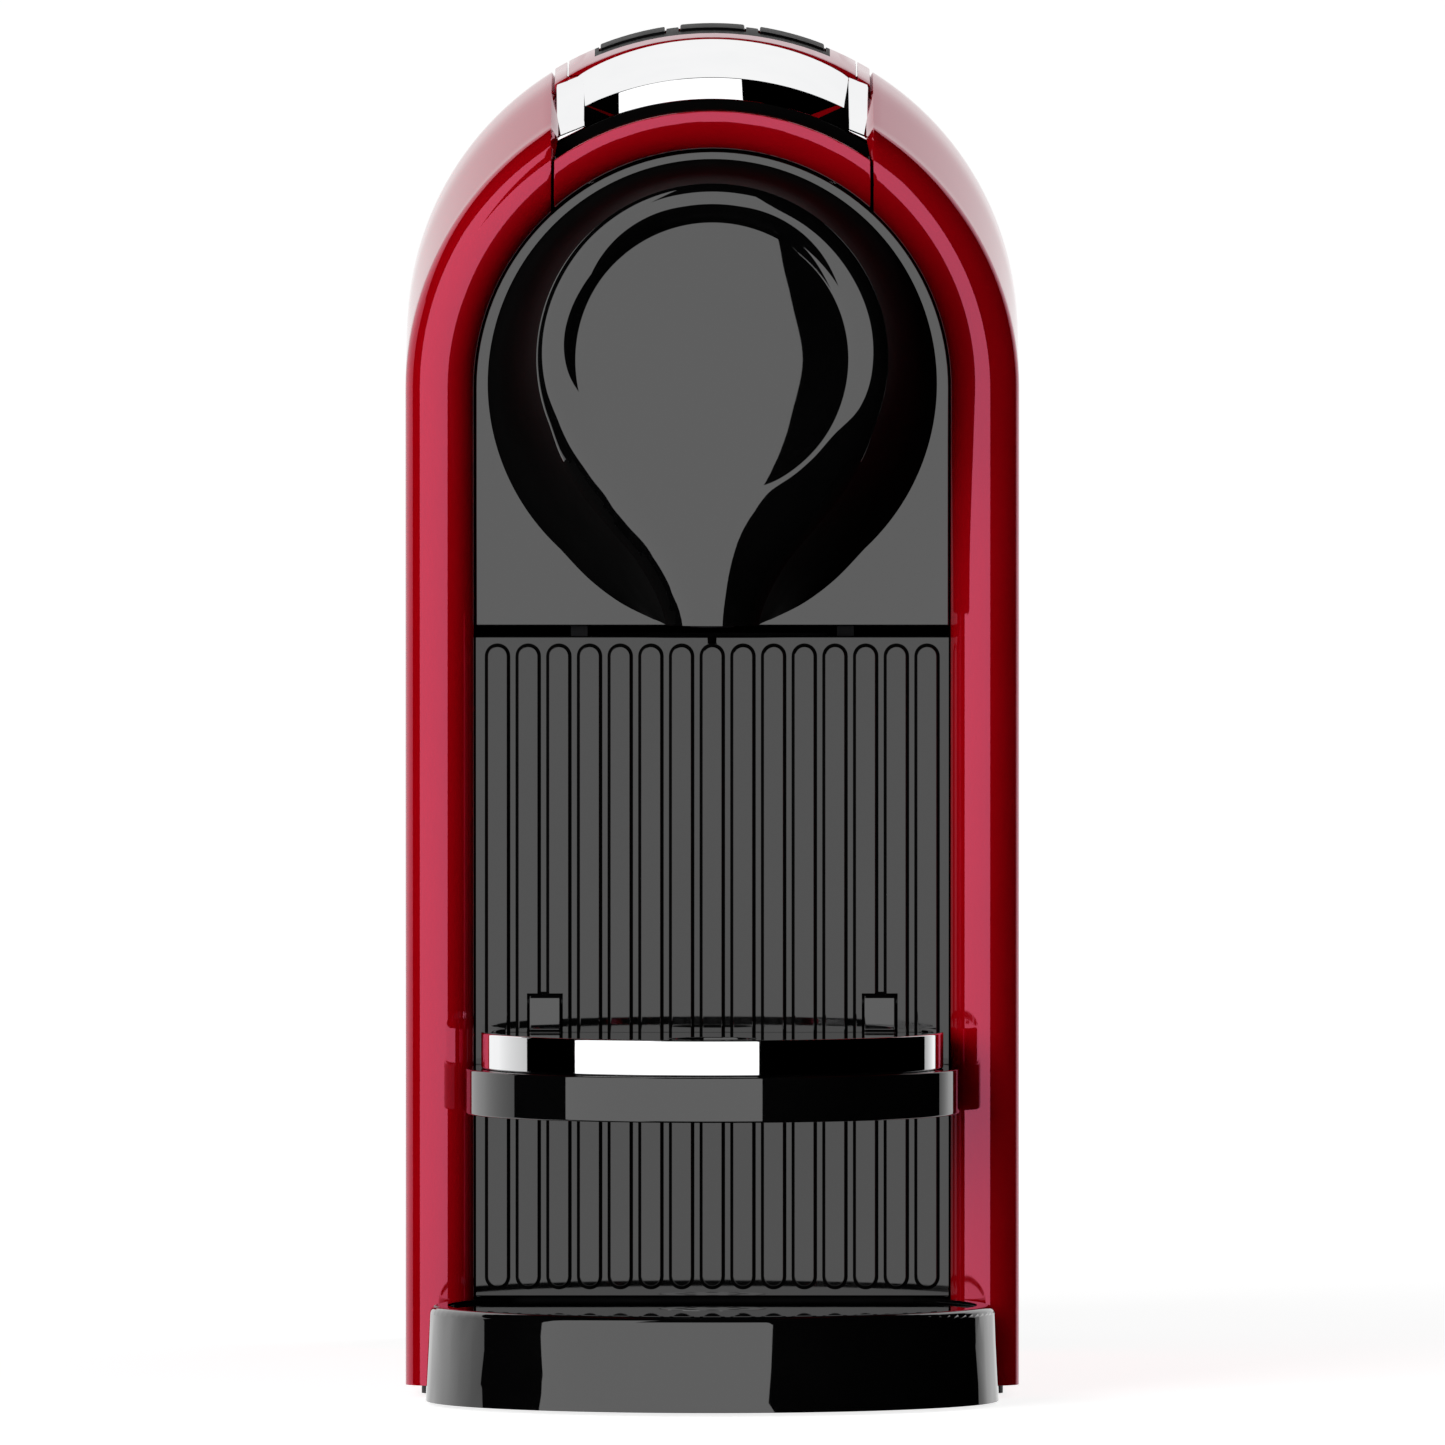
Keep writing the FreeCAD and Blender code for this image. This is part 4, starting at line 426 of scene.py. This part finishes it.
bead = casing["bead"]
beadAxis = casing["half"] - bead
profile = [(beadAxis - bead, casing["ringBack"]), (beadAxis - bead, casing["beadRoot"])]
for step in range(casing["beadSteps"] + 1):
    turn = math.pi * (1 - step / casing["beadSteps"])
    profile.append((beadAxis + bead * math.cos(turn), casing["face"] - bead * math.sin(turn)))
profile += [(casing["half"], y) for y in casing["stations"]]
shell = drawLine("outerShell", [at(-u, y, casing["bottom"]) for u, y in profile])
upward, downward = casing["legSteps"], casing["legSteps"][::-1]
for low, high in zip(upward, upward[1:]):
    extrudeBy(at(0, 0, high - low))
bpy.ops.mesh.spin(steps=casing["archSteps"], angle=math.pi, center=at(0, 0, casing["axis"]), axis=(0, -1, 0))
for high, low in zip(downward, downward[1:]):
    extrudeBy(at(0, 0, low - high))
bpy.ops.mesh.select_all(action="SELECT")
bpy.ops.mesh.remove_doubles(threshold=0.00001)
for y in casing["stations"]:
    pickVerts(shell, lambda p: abs(p.y - y) < near and p.z > casing["axis"] - near)
    bpy.ops.transform.translate(value=at(0, 0, riseAt(y)))


def overSlot(p):  # the part of the arch that the lever's slot runs through
    return p.y < casing["slotEnd"] and p.z > casing["axis"]


for side in (-1, 1):
    pickFaces(shell, overSlot)
    bpy.ops.mesh.bisect(plane_co=at(side * casing["slotHalf"], 0, 0), plane_no=(1, 0, 0))
pickFaces(shell, lambda p: overSlot(p) and abs(p.x) < casing["slotHalf"])
bpy.ops.mesh.delete(type="FACE")
faceOutward()
flipIfTurned(shell, Vector((1, 0, 0)))
applied(shell, "SOLIDIFY", thickness=casing["wall"] * mm, offset=-1, use_even_offset=True)
softEdges(shell, casing["edge"], angle=casing["edgeAngle"])
settle(shell, "machine", redLacquer, "outer_shell", slot="red_gloss", flat=False)

# Nozzle cover: a drop with a domed disc, a rounded ridge round it and a flared skirt
cover = {
    "skirt": 43.2, "skirtAxis": 195.0, "axis": 200.7, "lip": 33.7, "disc": 26.2, "front": -129.8,
    "panel": -90.0, "foot": 149.6, "sideAngle": -14, "lipAngle": -22, "footAngle": -80, "wall": 1.6,
    "footSteps": 6, "flankSteps": 40, "archSteps": 60, "topRadius": 200.0, "roundLimit": 0.97,
    "skirtFlank": [(11.2, 149.6), (17.6, 152.8), (23.7, 157.4), (29.35, 163.3)],
    "lipFlank": [(8.8, 149.6), (9.8, 153.2), (11.9, 157.8), (15.2, 163.0), (20.0, 168.6), (25.0, 174.8),
                 (28.9, 181.6)],
    "bend": [(149.6, 9.6), (152.6, 11.0), (158.3, 15.0), (163.1, 20.5), (167.9, 29.5), (171.4, 37),
             (174, 43), (177.8, 54), (183, 68), (190, 80), (200.7, 92.0), (212.0, 80.0), (220.8, 69.0),
             (234.4, 58.0)],  # the face's sideways radius at each height
    "ridge": (30.3, 6.9), "ridgeTop": (31.2, 5.3),  # reach of the ridge's crest, and its radius
    "ringRoll": (4.2, 3.4), "topRoll": (2.8, 2.0), "flankRoll": (7.0, 4.5),  # radius and width
    "highAngles": (25, 80), "valleyAngles": (-38, 12), "ringAngles": (-35, -8),  # where each one eases in
    "ridgeParts": [(0.33, -80, -50), (0.67, -32, 12)], "rollHeights": (164, 177), "farFromLip": 9.0,
    "steepFrom": 181.0, "steepLow": -0.72, "steepHigh": -0.56,
    "skirtShape": [(0.02, 0.03), (0.10, 0.13), (0.25, 0.31), (0.45, 0.535), (0.65, 0.735), (0.82, 0.885),
                   (0.93, 0.962), (1, 1)],  # share outward and share back
    "faceShares": [1, 0.95, 0.89, 0.83, 0.77, 0.71, 0.65, 0.59, 0.53, 0.47, 0.40, 0.33, 0.26, 0.19, 0.12,
                   0.06, 0.02, 0],
    "discRadii": [26.05, 25.6, 24.5, 22.5, 20, 17, 14, 11, 8, 5, 2.5, 0.8],
}


def arcPoints(radius, centre, start, end, count):
    turns = [math.radians(start + (end - start) * step / count) for step in range(count + 1)]
    return [(radius * math.cos(turn), centre + radius * math.sin(turn)) for turn in turns]


def dropOutline(foot, flank, arch):  # the right half from the foot's middle to the top, then mirrored
    right = (resample(foot, cover["footSteps"])[:-1] + resample(flank, cover["flankSteps"])[:-1]
             + resample(arch, cover["archSteps"]))
    return right + [(-x, z) for x, z in right[-2:0:-1]]


def roundTop(radius, centre):
    return arcPoints(radius, centre, cover["sideAngle"], 90, count=120)


def circleLine(radius):
    return dropOutline(
        arcPoints(radius, cover["axis"], -90, cover["footAngle"], count=8),
        arcPoints(radius, cover["axis"], cover["footAngle"], cover["sideAngle"], count=80),
        roundTop(radius, cover["axis"]))


def roundOver(radius, reach):  # how far a round of this radius falls away over this reach
    reach = min(abs(reach), radius * cover["roundLimit"])
    return radius - math.sqrt(radius ** 2 - reach ** 2)


bendCurve = [(z, (radius,)) for z, radius in smoothCurve(cover["bend"], perSpan=6)]


def domeDrop(x, z):
    up = max(0, z - cover["axis"])
    return roundOver(between(bendCurve, z)[0], x) + up ** 2 / (2 * cover["topRadius"])


def faceDrop(x, z, toLip=cover["farFromLip"], roll=1.0):  # how far the face lies behind its foremost plane
    up = z - cover["axis"]
    reach = math.hypot(x, up)
    angle = math.degrees(math.atan2(up, abs(x)))
    high = easeStep(*cover["highAngles"], angle)
    crest, inner = blend(cover["ridge"], cover["ridgeTop"], high)
    drop = domeDrop(x, z)
    if reach > cover["disc"]:
        share = cover["disc"] / reach
        valley = domeDrop(x * share, cover["axis"] + up * share)
        rise = roundOver(inner, crest - cover["disc"]) - roundOver(inner, max(0, crest - reach))
        ridge = sum(part * easeStep(low, top, angle) for part, low, top in cover["ridgeParts"])
        drop += easeStep(*cover["valleyAngles"], angle) * (valley - drop) - ridge * rise
    onRing = easeStep(*cover["ringAngles"], angle)
    sideRoll = blend(cover["flankRoll"], cover["ringRoll"], onRing)
    radius, width = blend(sideRoll, cover["topRoll"], high)
    return drop + roll * roundOver(radius, max(0, width - toLip))


skirtTurn = math.degrees(math.asin((cover["skirtFlank"][-1][1] - cover["skirtAxis"]) / cover["skirt"]))
skirtSide = arcPoints(cover["skirt"], cover["skirtAxis"], skirtTurn, cover["sideAngle"], count=60)
skirtLine = dropOutline(
    [(0, cover["foot"]), cover["skirtFlank"][0]], smoothCurve(cover["skirtFlank"]) + skirtSide[1:],
    roundTop(cover["skirt"], cover["skirtAxis"]))
lipSide = arcPoints(cover["lip"], cover["axis"], cover["lipAngle"], cover["sideAngle"], count=3)
lipLine = dropOutline(
    [(0, cover["foot"]), cover["lipFlank"][0]], smoothCurve(cover["lipFlank"] + lipSide),
    roundTop(cover["lip"], cover["axis"]))
discLine = circleLine(cover["disc"])
rings = []
rollShares = [easeStep(*cover["rollHeights"], z) for x, z in lipLine]
lipDrop = [faceDrop(x, z, 0, roll) for (x, z), roll in zip(lipLine, rollShares)]
for outward, back in reversed(cover["skirtShape"]):
    ring = []
    for lipPoint, skirtPoint, drop in zip(lipLine, skirtLine, lipDrop):
        x, z = blend(lipPoint, skirtPoint, outward)
        start = cover["front"] + drop
        ring.append(at(x, start + (cover["panel"] - start) * back, z))
    rings.append(ring)
for share in cover["faceShares"]:
    ring = []
    for discPoint, lipPoint, roll in zip(discLine, lipLine, rollShares):
        x, z = blend(discPoint, lipPoint, share)
        ring.append(at(x, cover["front"] + faceDrop(x, z, math.dist((x, z), lipPoint), roll), z))
    rings.append(ring)
for radius in cover["discRadii"]:
    rings.append([at(x, cover["front"] + faceDrop(x, z), z) for x, z in circleLine(radius)])
nozzle = growRings("nozzleCover", rings, closeEnd="point")
faceOutward()
pickFaces(nozzle, lambda p: p.z < cover["foot"] + near)
bpy.ops.mesh.delete(type="FACE")
flipIfTurned(nozzle, Vector((0, -1, 0)))
applied(nozzle, "SOLIDIFY", thickness=cover["wall"] * mm, offset=-1)
settle(nozzle, "machine", blackGloss, "nozzle_cover", angle=60, slot="black_gloss", flat=False)


def shadedSkirtFaces(p, n):  # painted shade: the steep skirt faces are given the dull black so that they read dark, as the gloss there reflects little light
    return n.y > (cover["steepLow"] if p.z < cover["steepFrom"] else cover["steepHigh"])


# Painted shade: the dull black on the steep skirt stands in for the dark it would reflect
secondFinish(nozzle, matteBlackAndPaintedShade, shadedSkirtFaces)

# Drawer front: a plate with fifteen round-ended ribs
flutes = {
    "count": 15, "pitch": 5.9, "width": 4.46, "proud": 0.8, "low": 20.9, "high": 144.8, "face": -90.0,
    "back": -87.0, "half": 45.5, "bottom": 19.3, "top": 146.4, "round": 0.25, "roundSteps": 4,
    "endSteps": 16, "ribRoot": -89.7, "groove": 0.5, "grooveOut": 0.45, "grooveIn": 0.55,
    "grooveFace": -90.04, "slotX": 32.2, "slotHalf": 3.45, "slotLow": 63.0, "slotHigh": 77.7,
    "notchHalf": 0.7, "notchDepth": 1.2, "cutFront": -93, "cutBack": -85, "cutOver": 2, "edge": 0.3,
    "edgeSteps": 3, "edgeAngle": 40,
}
endRound = flutes["width"] / 2


def ribLine(x, reach, depth):  # a long round-ended line at this depth
    line = []
    for middle, first in ((flutes["high"] - endRound, 0), (flutes["low"] + endRound, math.pi)):
        for step in range(flutes["endSteps"] + 1):
            turn = first + math.pi * step / flutes["endSteps"]
            line.append(at(x + reach * math.cos(turn), depth, middle + reach * math.sin(turn)))
    return line


def slotCutter(side):  # where a lug of the cup rest goes through
    middle = side * flutes["slotX"]
    return slab("slotCutter", (middle - flutes["slotHalf"], flutes["cutFront"], flutes["slotLow"]),
                (middle + flutes["slotHalf"], flutes["cutBack"], flutes["slotHigh"]))


plate = slab("drawerFront", (-flutes["half"], flutes["face"], flutes["bottom"]),
             (flutes["half"], flutes["back"], flutes["top"]))
# The shade line is a flat band just proud of the plate, painted black as the shade of a groove round each
# rib
wide = endRound + flutes["groove"] * flutes["grooveOut"]
slim = endRound - flutes["groove"] * flutes["grooveIn"]
ribFace = flutes["face"] - flutes["proud"]
ribs = []
for number in range(flutes["count"]):
    x = (number - (flutes["count"] - 1) / 2) * flutes["pitch"]
    rib = growRings(f"rib{number}", [
        ribLine(x, wide, flutes["ribRoot"]), ribLine(x, wide, flutes["grooveFace"]),
        ribLine(x, slim, flutes["grooveFace"]), ribLine(x, slim, ribFace)], closeEnd="fill")
    pickVerts(rib, lambda p: p.y > flutes["face"])
    bpy.ops.mesh.edge_face_add()
    faceOutward()
    pickEdges(rib, lambda a, b: max(a.y, b.y) < ribFace + near)
    bpy.ops.mesh.bevel(offset=flutes["round"] * mm, segments=flutes["roundSteps"], affect="EDGES")
    for side in (-1, 1):
        if abs(x - side * flutes["slotX"]) < flutes["slotHalf"] + endRound:
            carve(rib, slotCutter(side))
    ribs.append(rib)
for side in (-1, 1):
    carve(plate, slotCutter(side))
notchLow, notchHigh = flutes["top"] - flutes["notchDepth"], flutes["top"] + flutes["cutOver"]
carve(plate, slab("notchCutter", (-flutes["notchHalf"], flutes["cutFront"], notchLow),
                  (flutes["notchHalf"], flutes["cutBack"], notchHigh)))
softEdges(plate, flutes["edge"], flutes["edgeSteps"], flutes["edgeAngle"])
mergeInto(plate, *ribs)
settle(plate, "drawer", flutedBlack, "drawer_front", slot="black_gloss")
secondFinish(plate, matteBlackAndPaintedShade, lambda p, n: abs(p.y - flutes["grooveFace"]) < near)  # painted shade: a black outline round each rib, where a groove's shade would be

# Lever handle: the half-round grip with a cheek at each end
cheek = {
    "inner": {-1: 24.6, 1: 26.2}, "outer": 30.05, "front": -84.0, "back": -57.0, "low": 238.0, "high": 256.0,
    "top": (26.0, -57.5, 253.2), "topSlope": (0.40, -0.352, 1), "base": (24.8, 0, 243.9),
    "baseSlope": (0.50, 0, 1), "edge": 0.45, "edgeSteps": 3, "flatFrom": 0.95, "innerBand": 0.05,
}


def slantCut(side, place, slope, **cleared):  # the plane is given for the right side
    mirror = Vector((side, 1, 1))
    bpy.ops.mesh.select_all(action="SELECT")
    bpy.ops.mesh.bisect(plane_co=at(*place) * mirror, plane_no=Vector(slope) * mirror, use_fill=True,
                        **cleared)


handle = softenedCopy("leverHandle", "lever_handle", cheek["edge"], cheek["edgeSteps"])
for side in (-1, 1):
    ends = sorted((side * cheek["inner"][side], side * cheek["outer"]))
    block = slab("handleCheek", (ends[0], cheek["front"], cheek["low"]),
                 (ends[1], cheek["back"], cheek["high"]))
    openMesh(block)
    slantCut(side, cheek["top"], cheek["topSlope"], clear_outer=True)
    slantCut(side, cheek["base"], cheek["baseSlope"], clear_inner=True)
    bpy.ops.object.mode_set(mode="OBJECT")
    softEdges(block, cheek["edge"], cheek["edgeSteps"])
    mergeInto(handle, block)
settle(handle, "lever", chromePlate, "lever_handle", slot="chrome_plate")


def shadedCheekInside(p, n):  # painted shade: a cheek's inner side and the start of its broken edge are painted dull black, for the shade in the slot
    side = 1 if p.x > 0 else -1
    inward = n.x * side < 0 and abs(n.x) > cheek["flatFrom"]
    return inward and abs(p.x - side * cheek["inner"][side]) < cheek["innerBand"]


# Painted shade on the cheeks' inner sides
secondFinish(handle, matteBlackAndPaintedShade, shadedCheekInside)

# Edges broken on the other moulded and plated pieces
broken = {  # node, width in mm, segments, body, finish and slot
    "leverFrame": ("lever_frame", 0.30, 2, "lever", redLacquer, "red_gloss"),
    "upperPanel": ("upper_panel", 0.30, 2, "machine", blackGloss, "black_gloss"),
    "cupRing": ("cup_ring", 0.35, 3, "cup_rest", chromePlate, "chrome_plate"),
    "cupCradle": ("cup_cradle", 0.35, 3, "cup_rest", blackGloss, "black_gloss"),
    "cupPlate": ("cup_plate", 0.30, 2, "cup_rest", blackGloss, "black_gloss"),
    "dripBase": ("drip_base", 0.80, 3, "drawer", blackGloss, "black_gloss"),
    "dripCover": ("drip_cover", 0.30, 2, "drip_cover", blackGloss, "black_gloss"),
    "waterTank": ("water_tank", 0.60, 3, "water_tank", tankSmoke, "tank_smoke"),
    "tankLid": ("tank_lid", 0.60, 3, "tank_lid", blackGloss, "black_gloss"),
}
for pieceName, (nodeName, width, segments, body, material, slotName) in broken.items():
    settle(softenedCopy(pieceName, nodeName, width, segments), body, material, nodeName, slot=slotName)

# Top cover with the hollow round the buttons painted black, as painted shade and the buttons' painted
# reflection, and the buttons low in it
field = {
    "half": 22.7, "front": -46.0, "back": -22.6, "facesUp": 0.5, "coverEdge": 0.30, "archRadius": 59.0,
    "capFrom": 261.6, "lower": 1.15, "capEdge": 0.35, "capSteps": 3,
}
topCover = softenedCopy("topCover", "top_cover", field["coverEdge"])
openMesh(topCover)
for place, normal in (((field["half"], 0, 0), (1, 0, 0)), ((-field["half"], 0, 0), (1, 0, 0)),
                      ((0, field["front"], 0), (0, 1, 0)), ((0, field["back"], 0), (0, 1, 0))):
    bpy.ops.mesh.select_all(action="SELECT")
    bpy.ops.mesh.bisect(plane_co=at(*place), plane_no=normal)
bpy.ops.object.mode_set(mode="OBJECT")
settle(topCover, "machine", redLacquer, "top_cover", slot="red_gloss")


def inPaintedHollow(p, n):
    inside = abs(p.x) < field["half"] and field["front"] < p.y < field["back"]
    return inside and n.z > field["facesUp"]


def inCap(p):  # the caps follow the arch
    return p.z + field["archRadius"] - math.sqrt(field["archRadius"] ** 2 - p.x ** 2) > field["capFrom"]


# Painted shade: the hollow's floor is painted black for the shade and the buttons' reflection in it
secondFinish(topCover, buttonBlackAndPaintedHollow, inPaintedHollow)
for place in ("left", "centre", "right"):
    button = softenedCopy(f"button{place.title()}", f"button_{place}", field["capEdge"], field["capSteps"])
    openMesh(button)
    pickVerts(button, inCap)
    bpy.ops.transform.translate(value=(0, 0, -field["lower"] * mm))
    bpy.ops.object.mode_set(mode="OBJECT")
    settle(button, f"button_{place}", buttonBlackAndPaintedHollow, f"button_{place}", slot="black_gloss")

# Floor: pale, and it glows less near the machine, so that the shadow shows
ground = {
    "half": 40.0, "colours": ((0.80, 0.80, 0.80), (0.84, 0.84, 0.84)), "scale": 6, "detail": 2, "rough": 0.9,
    "glowNear": 0.82, "glowFar": 0.96, "glowFrom": 0.3, "glowTo": 1.6,
}


def seenRays(tree):  # 1 for rays from the eye, from gloss and through clear parts
    path = addNode(tree, "LightPath")
    two = addNode(tree, "Math", operation="MAXIMUM")
    wire(tree, path, "Is Camera Ray", two, 0)
    wire(tree, path, "Is Glossy Ray", two, 1)
    three = addNode(tree, "Math", operation="MAXIMUM")
    wire(tree, two, "Value", three, 0)
    wire(tree, path, "Is Transmission Ray", three, 1)
    return three


def paleGround(name):
    made, tree, shader = newMaterial(name)
    cloud = addNoise(tree, ground["scale"], ground["detail"])
    shade = addShade(tree, cloud, ground["colours"])
    wire(tree, shade, "Color", shader, "Base Color")
    place = addNode(tree, "TexCoord")
    away = addNode(tree, "VectorMath", operation="LENGTH")
    wire(tree, place, "Object", away, 0)
    glow = addNode(tree, "MapRange", {
        "From Min": ground["glowFrom"], "From Max": ground["glowTo"],
        "To Min": ground["glowNear"], "To Max": ground["glowFar"]})
    wire(tree, away, "Value", glow, "Value")
    strength = addNode(tree, "Math", operation="MULTIPLY")
    wire(tree, seenRays(tree), "Value", strength, 0)
    wire(tree, glow, "Result", strength, 1)
    wire(tree, strength, "Value", shader, "Emission Strength")
    setSockets(shader, {
        "Roughness": ground["rough"], "Specular IOR Level": 0, "Emission Color": (1, 1, 1, 1)})
    return made


deselectAll()
bpy.ops.mesh.primitive_plane_add(size=ground["half"] * 2)
floor = named(bpy.context.object, "paleFloor")
floor.data.materials.append(paleGround("paleFloor"))
floor.visible_glossy = False  # the room's white shows in the gloss instead

# Flags: black sheets that only the gloss sees, as in a studio
flags = {  # two corners in mm
    "flagLeft": ((-1000, -385, -800), (-1000, 900, 1290)),
    "flagRight": ((300, -880, -800), (300, 300, 900)),
    "flagSide": ((-4000, -880, -800), (-4000, -150, 1300)),
    "flagFront": ((-4000, -880, -800), (4000, -880, 1300)),
    "flagAbove": ((-4000, -880, 1300), (4000, 1200, 1300)),
    "flagBelow": ((-4000, -880, -800), (300, -100, -800)),
}
cloths = {  # name, depth to which it is solid, depth where it ends, and how dense it is between
    "flagLeft": ("thinLeft", 0.15, 0.83, 0.40),
    "flagRight": ("thinRight", 0.12, 0.26, 0.6),
    "others": ("fullCloth", 1.25, 1.3, 1.0),
}


def flagCloth(name, solidTo, clearAt, density):
    made, tree, cloth = newMaterial(name)
    setSockets(cloth, {"Base Color": (0, 0, 0, 1), "Specular IOR Level": 0})
    place = addNode(tree, "TexCoord")
    parts = addNode(tree, "SeparateXYZ")
    wire(tree, place, "Object", parts, "Vector")
    solid = addNode(tree, "Math", {1: solidTo}, operation="LESS_THAN")
    wire(tree, parts, "Y", solid, 0)
    thin = addNode(tree, "MapRange", {
        "From Min": solidTo, "From Max": clearAt, "To Min": density, "To Max": 0})
    wire(tree, parts, "Y", thin, "Value")
    dense = addNode(tree, "Math", operation="MAXIMUM")
    wire(tree, solid, "Value", dense, 0)
    wire(tree, thin, "Result", dense, 1)
    wire(tree, dense, "Value", cloth, "Alpha")
    return made


def sheetCorners(low, high):  # round a rectangle that is flat along one axis
    across, up = [axis for axis in range(3) if low[axis] != high[axis]]
    corners = []
    for first, second in ((low, low), (high, low), (high, high), (low, high)):
        corner = list(low)
        corner[across], corner[up] = first[across], second[up]
        corners.append(at(*corner))
    return corners


sewn = {name: flagCloth(*values) for name, values in cloths.items()}
for name, (low, high) in flags.items():
    flag = drawLine(name, sheetCorners(low, high))
    bpy.ops.mesh.edge_face_add()
    bpy.ops.object.mode_set(mode="OBJECT")
    flag.data.materials.append(sewn.get(name, sewn["others"]))
    flag.visible_camera = False
    flag.visible_diffuse = False
    flag.visible_transmission = False
    flag.visible_shadow = False

# Light: a white room, soft panels that show in the gloss, and plain lamps that don't
lights = {
    "roomFill": 0.06, "roomSeen": 1.0, "panelRadiance": 1.3, "panelDepth": -0.70,
    "panels": {"frontBox": (-0.38, 0.246, -0.12, 0.44), "sideBox": (-1.82, -0.38, -0.75, 1.28)},
    "plain": {  # place, aim, width, height and radiance
        "plainKey": ((-0.80, -1.24, 0.45), (0, -0.09, 0.13), 1.0, 0.8, 5.6),
        "plainRear": ((1.3, 1.1, 0.8), (0, 0.1, 0.1), 2.4, 1.4, 0.9),
    },
}
world = bpy.data.worlds.new("paleRoom")
bpy.context.scene.world = world
world.use_nodes = True
room = world.node_tree
backdrop = room.nodes["Background"]
setSockets(backdrop, {"Color": (1, 1, 1, 1)})
level = addNode(room, "MapRange", {"To Min": lights["roomFill"], "To Max": lights["roomSeen"]})
wire(room, seenRays(room), "Value", level, "Value")
wire(room, level, "Result", backdrop, "Strength")


def areaLamp(name, place, turn, width, height, radiance):
    light = bpy.data.lights.new(name, "AREA")
    light.shape = "RECTANGLE"
    light.size, light.size_y = width, height
    light.energy = radiance * math.pi * width * height  # even brightness over the panel
    holder = bpy.data.objects.new(name, light)
    bpy.context.scene.collection.objects.link(holder)
    holder.location = place
    holder.rotation_euler = turn
    holder.visible_camera = False
    return holder


for name, (left, right, low, high) in lights["panels"].items():
    middle = ((left + right) / 2, lights["panelDepth"], (low + high) / 2)
    panel = areaLamp(name, middle, (math.radians(90), 0, 0), right - left, high - low,
                     lights["panelRadiance"])
    panel.visible_diffuse = False
for name, (place, aim, width, height, radiance) in lights["plain"].items():
    turn = (Vector(aim) - Vector(place)).to_track_quat("-Z", "Y").to_euler()
    lamp = areaLamp(name, place, turn, width, height, radiance)
    lamp.visible_glossy = False

# Camera: far off with a long lens, as the photo is close to a parallel view
view = {
    "lens": 1400, "sensor": 36, "clipEnd": 200, "aim": (0.00196, -0.090, 0.1298), "pitch": 1.9,
    "distance": 10.807,
}
eye = bpy.data.cameras.new("photoEye")
eye.lens = view["lens"]
eye.sensor_width = view["sensor"]
eye.clip_end = view["clipEnd"]
camera = bpy.data.objects.new("photoEye", eye)
bpy.context.scene.collection.objects.link(camera)
pitch = math.radians(view["pitch"])
camera.location = Vector(view["aim"]) + Vector((0, -math.cos(pitch), math.sin(pitch))) * view["distance"]
camera.rotation_euler = (math.radians(90) - pitch, 0, 0)
bpy.context.scene.camera = camera
bpy.context.scene.view_settings.view_transform = "Standard"
print("stage set")

deselectAll()
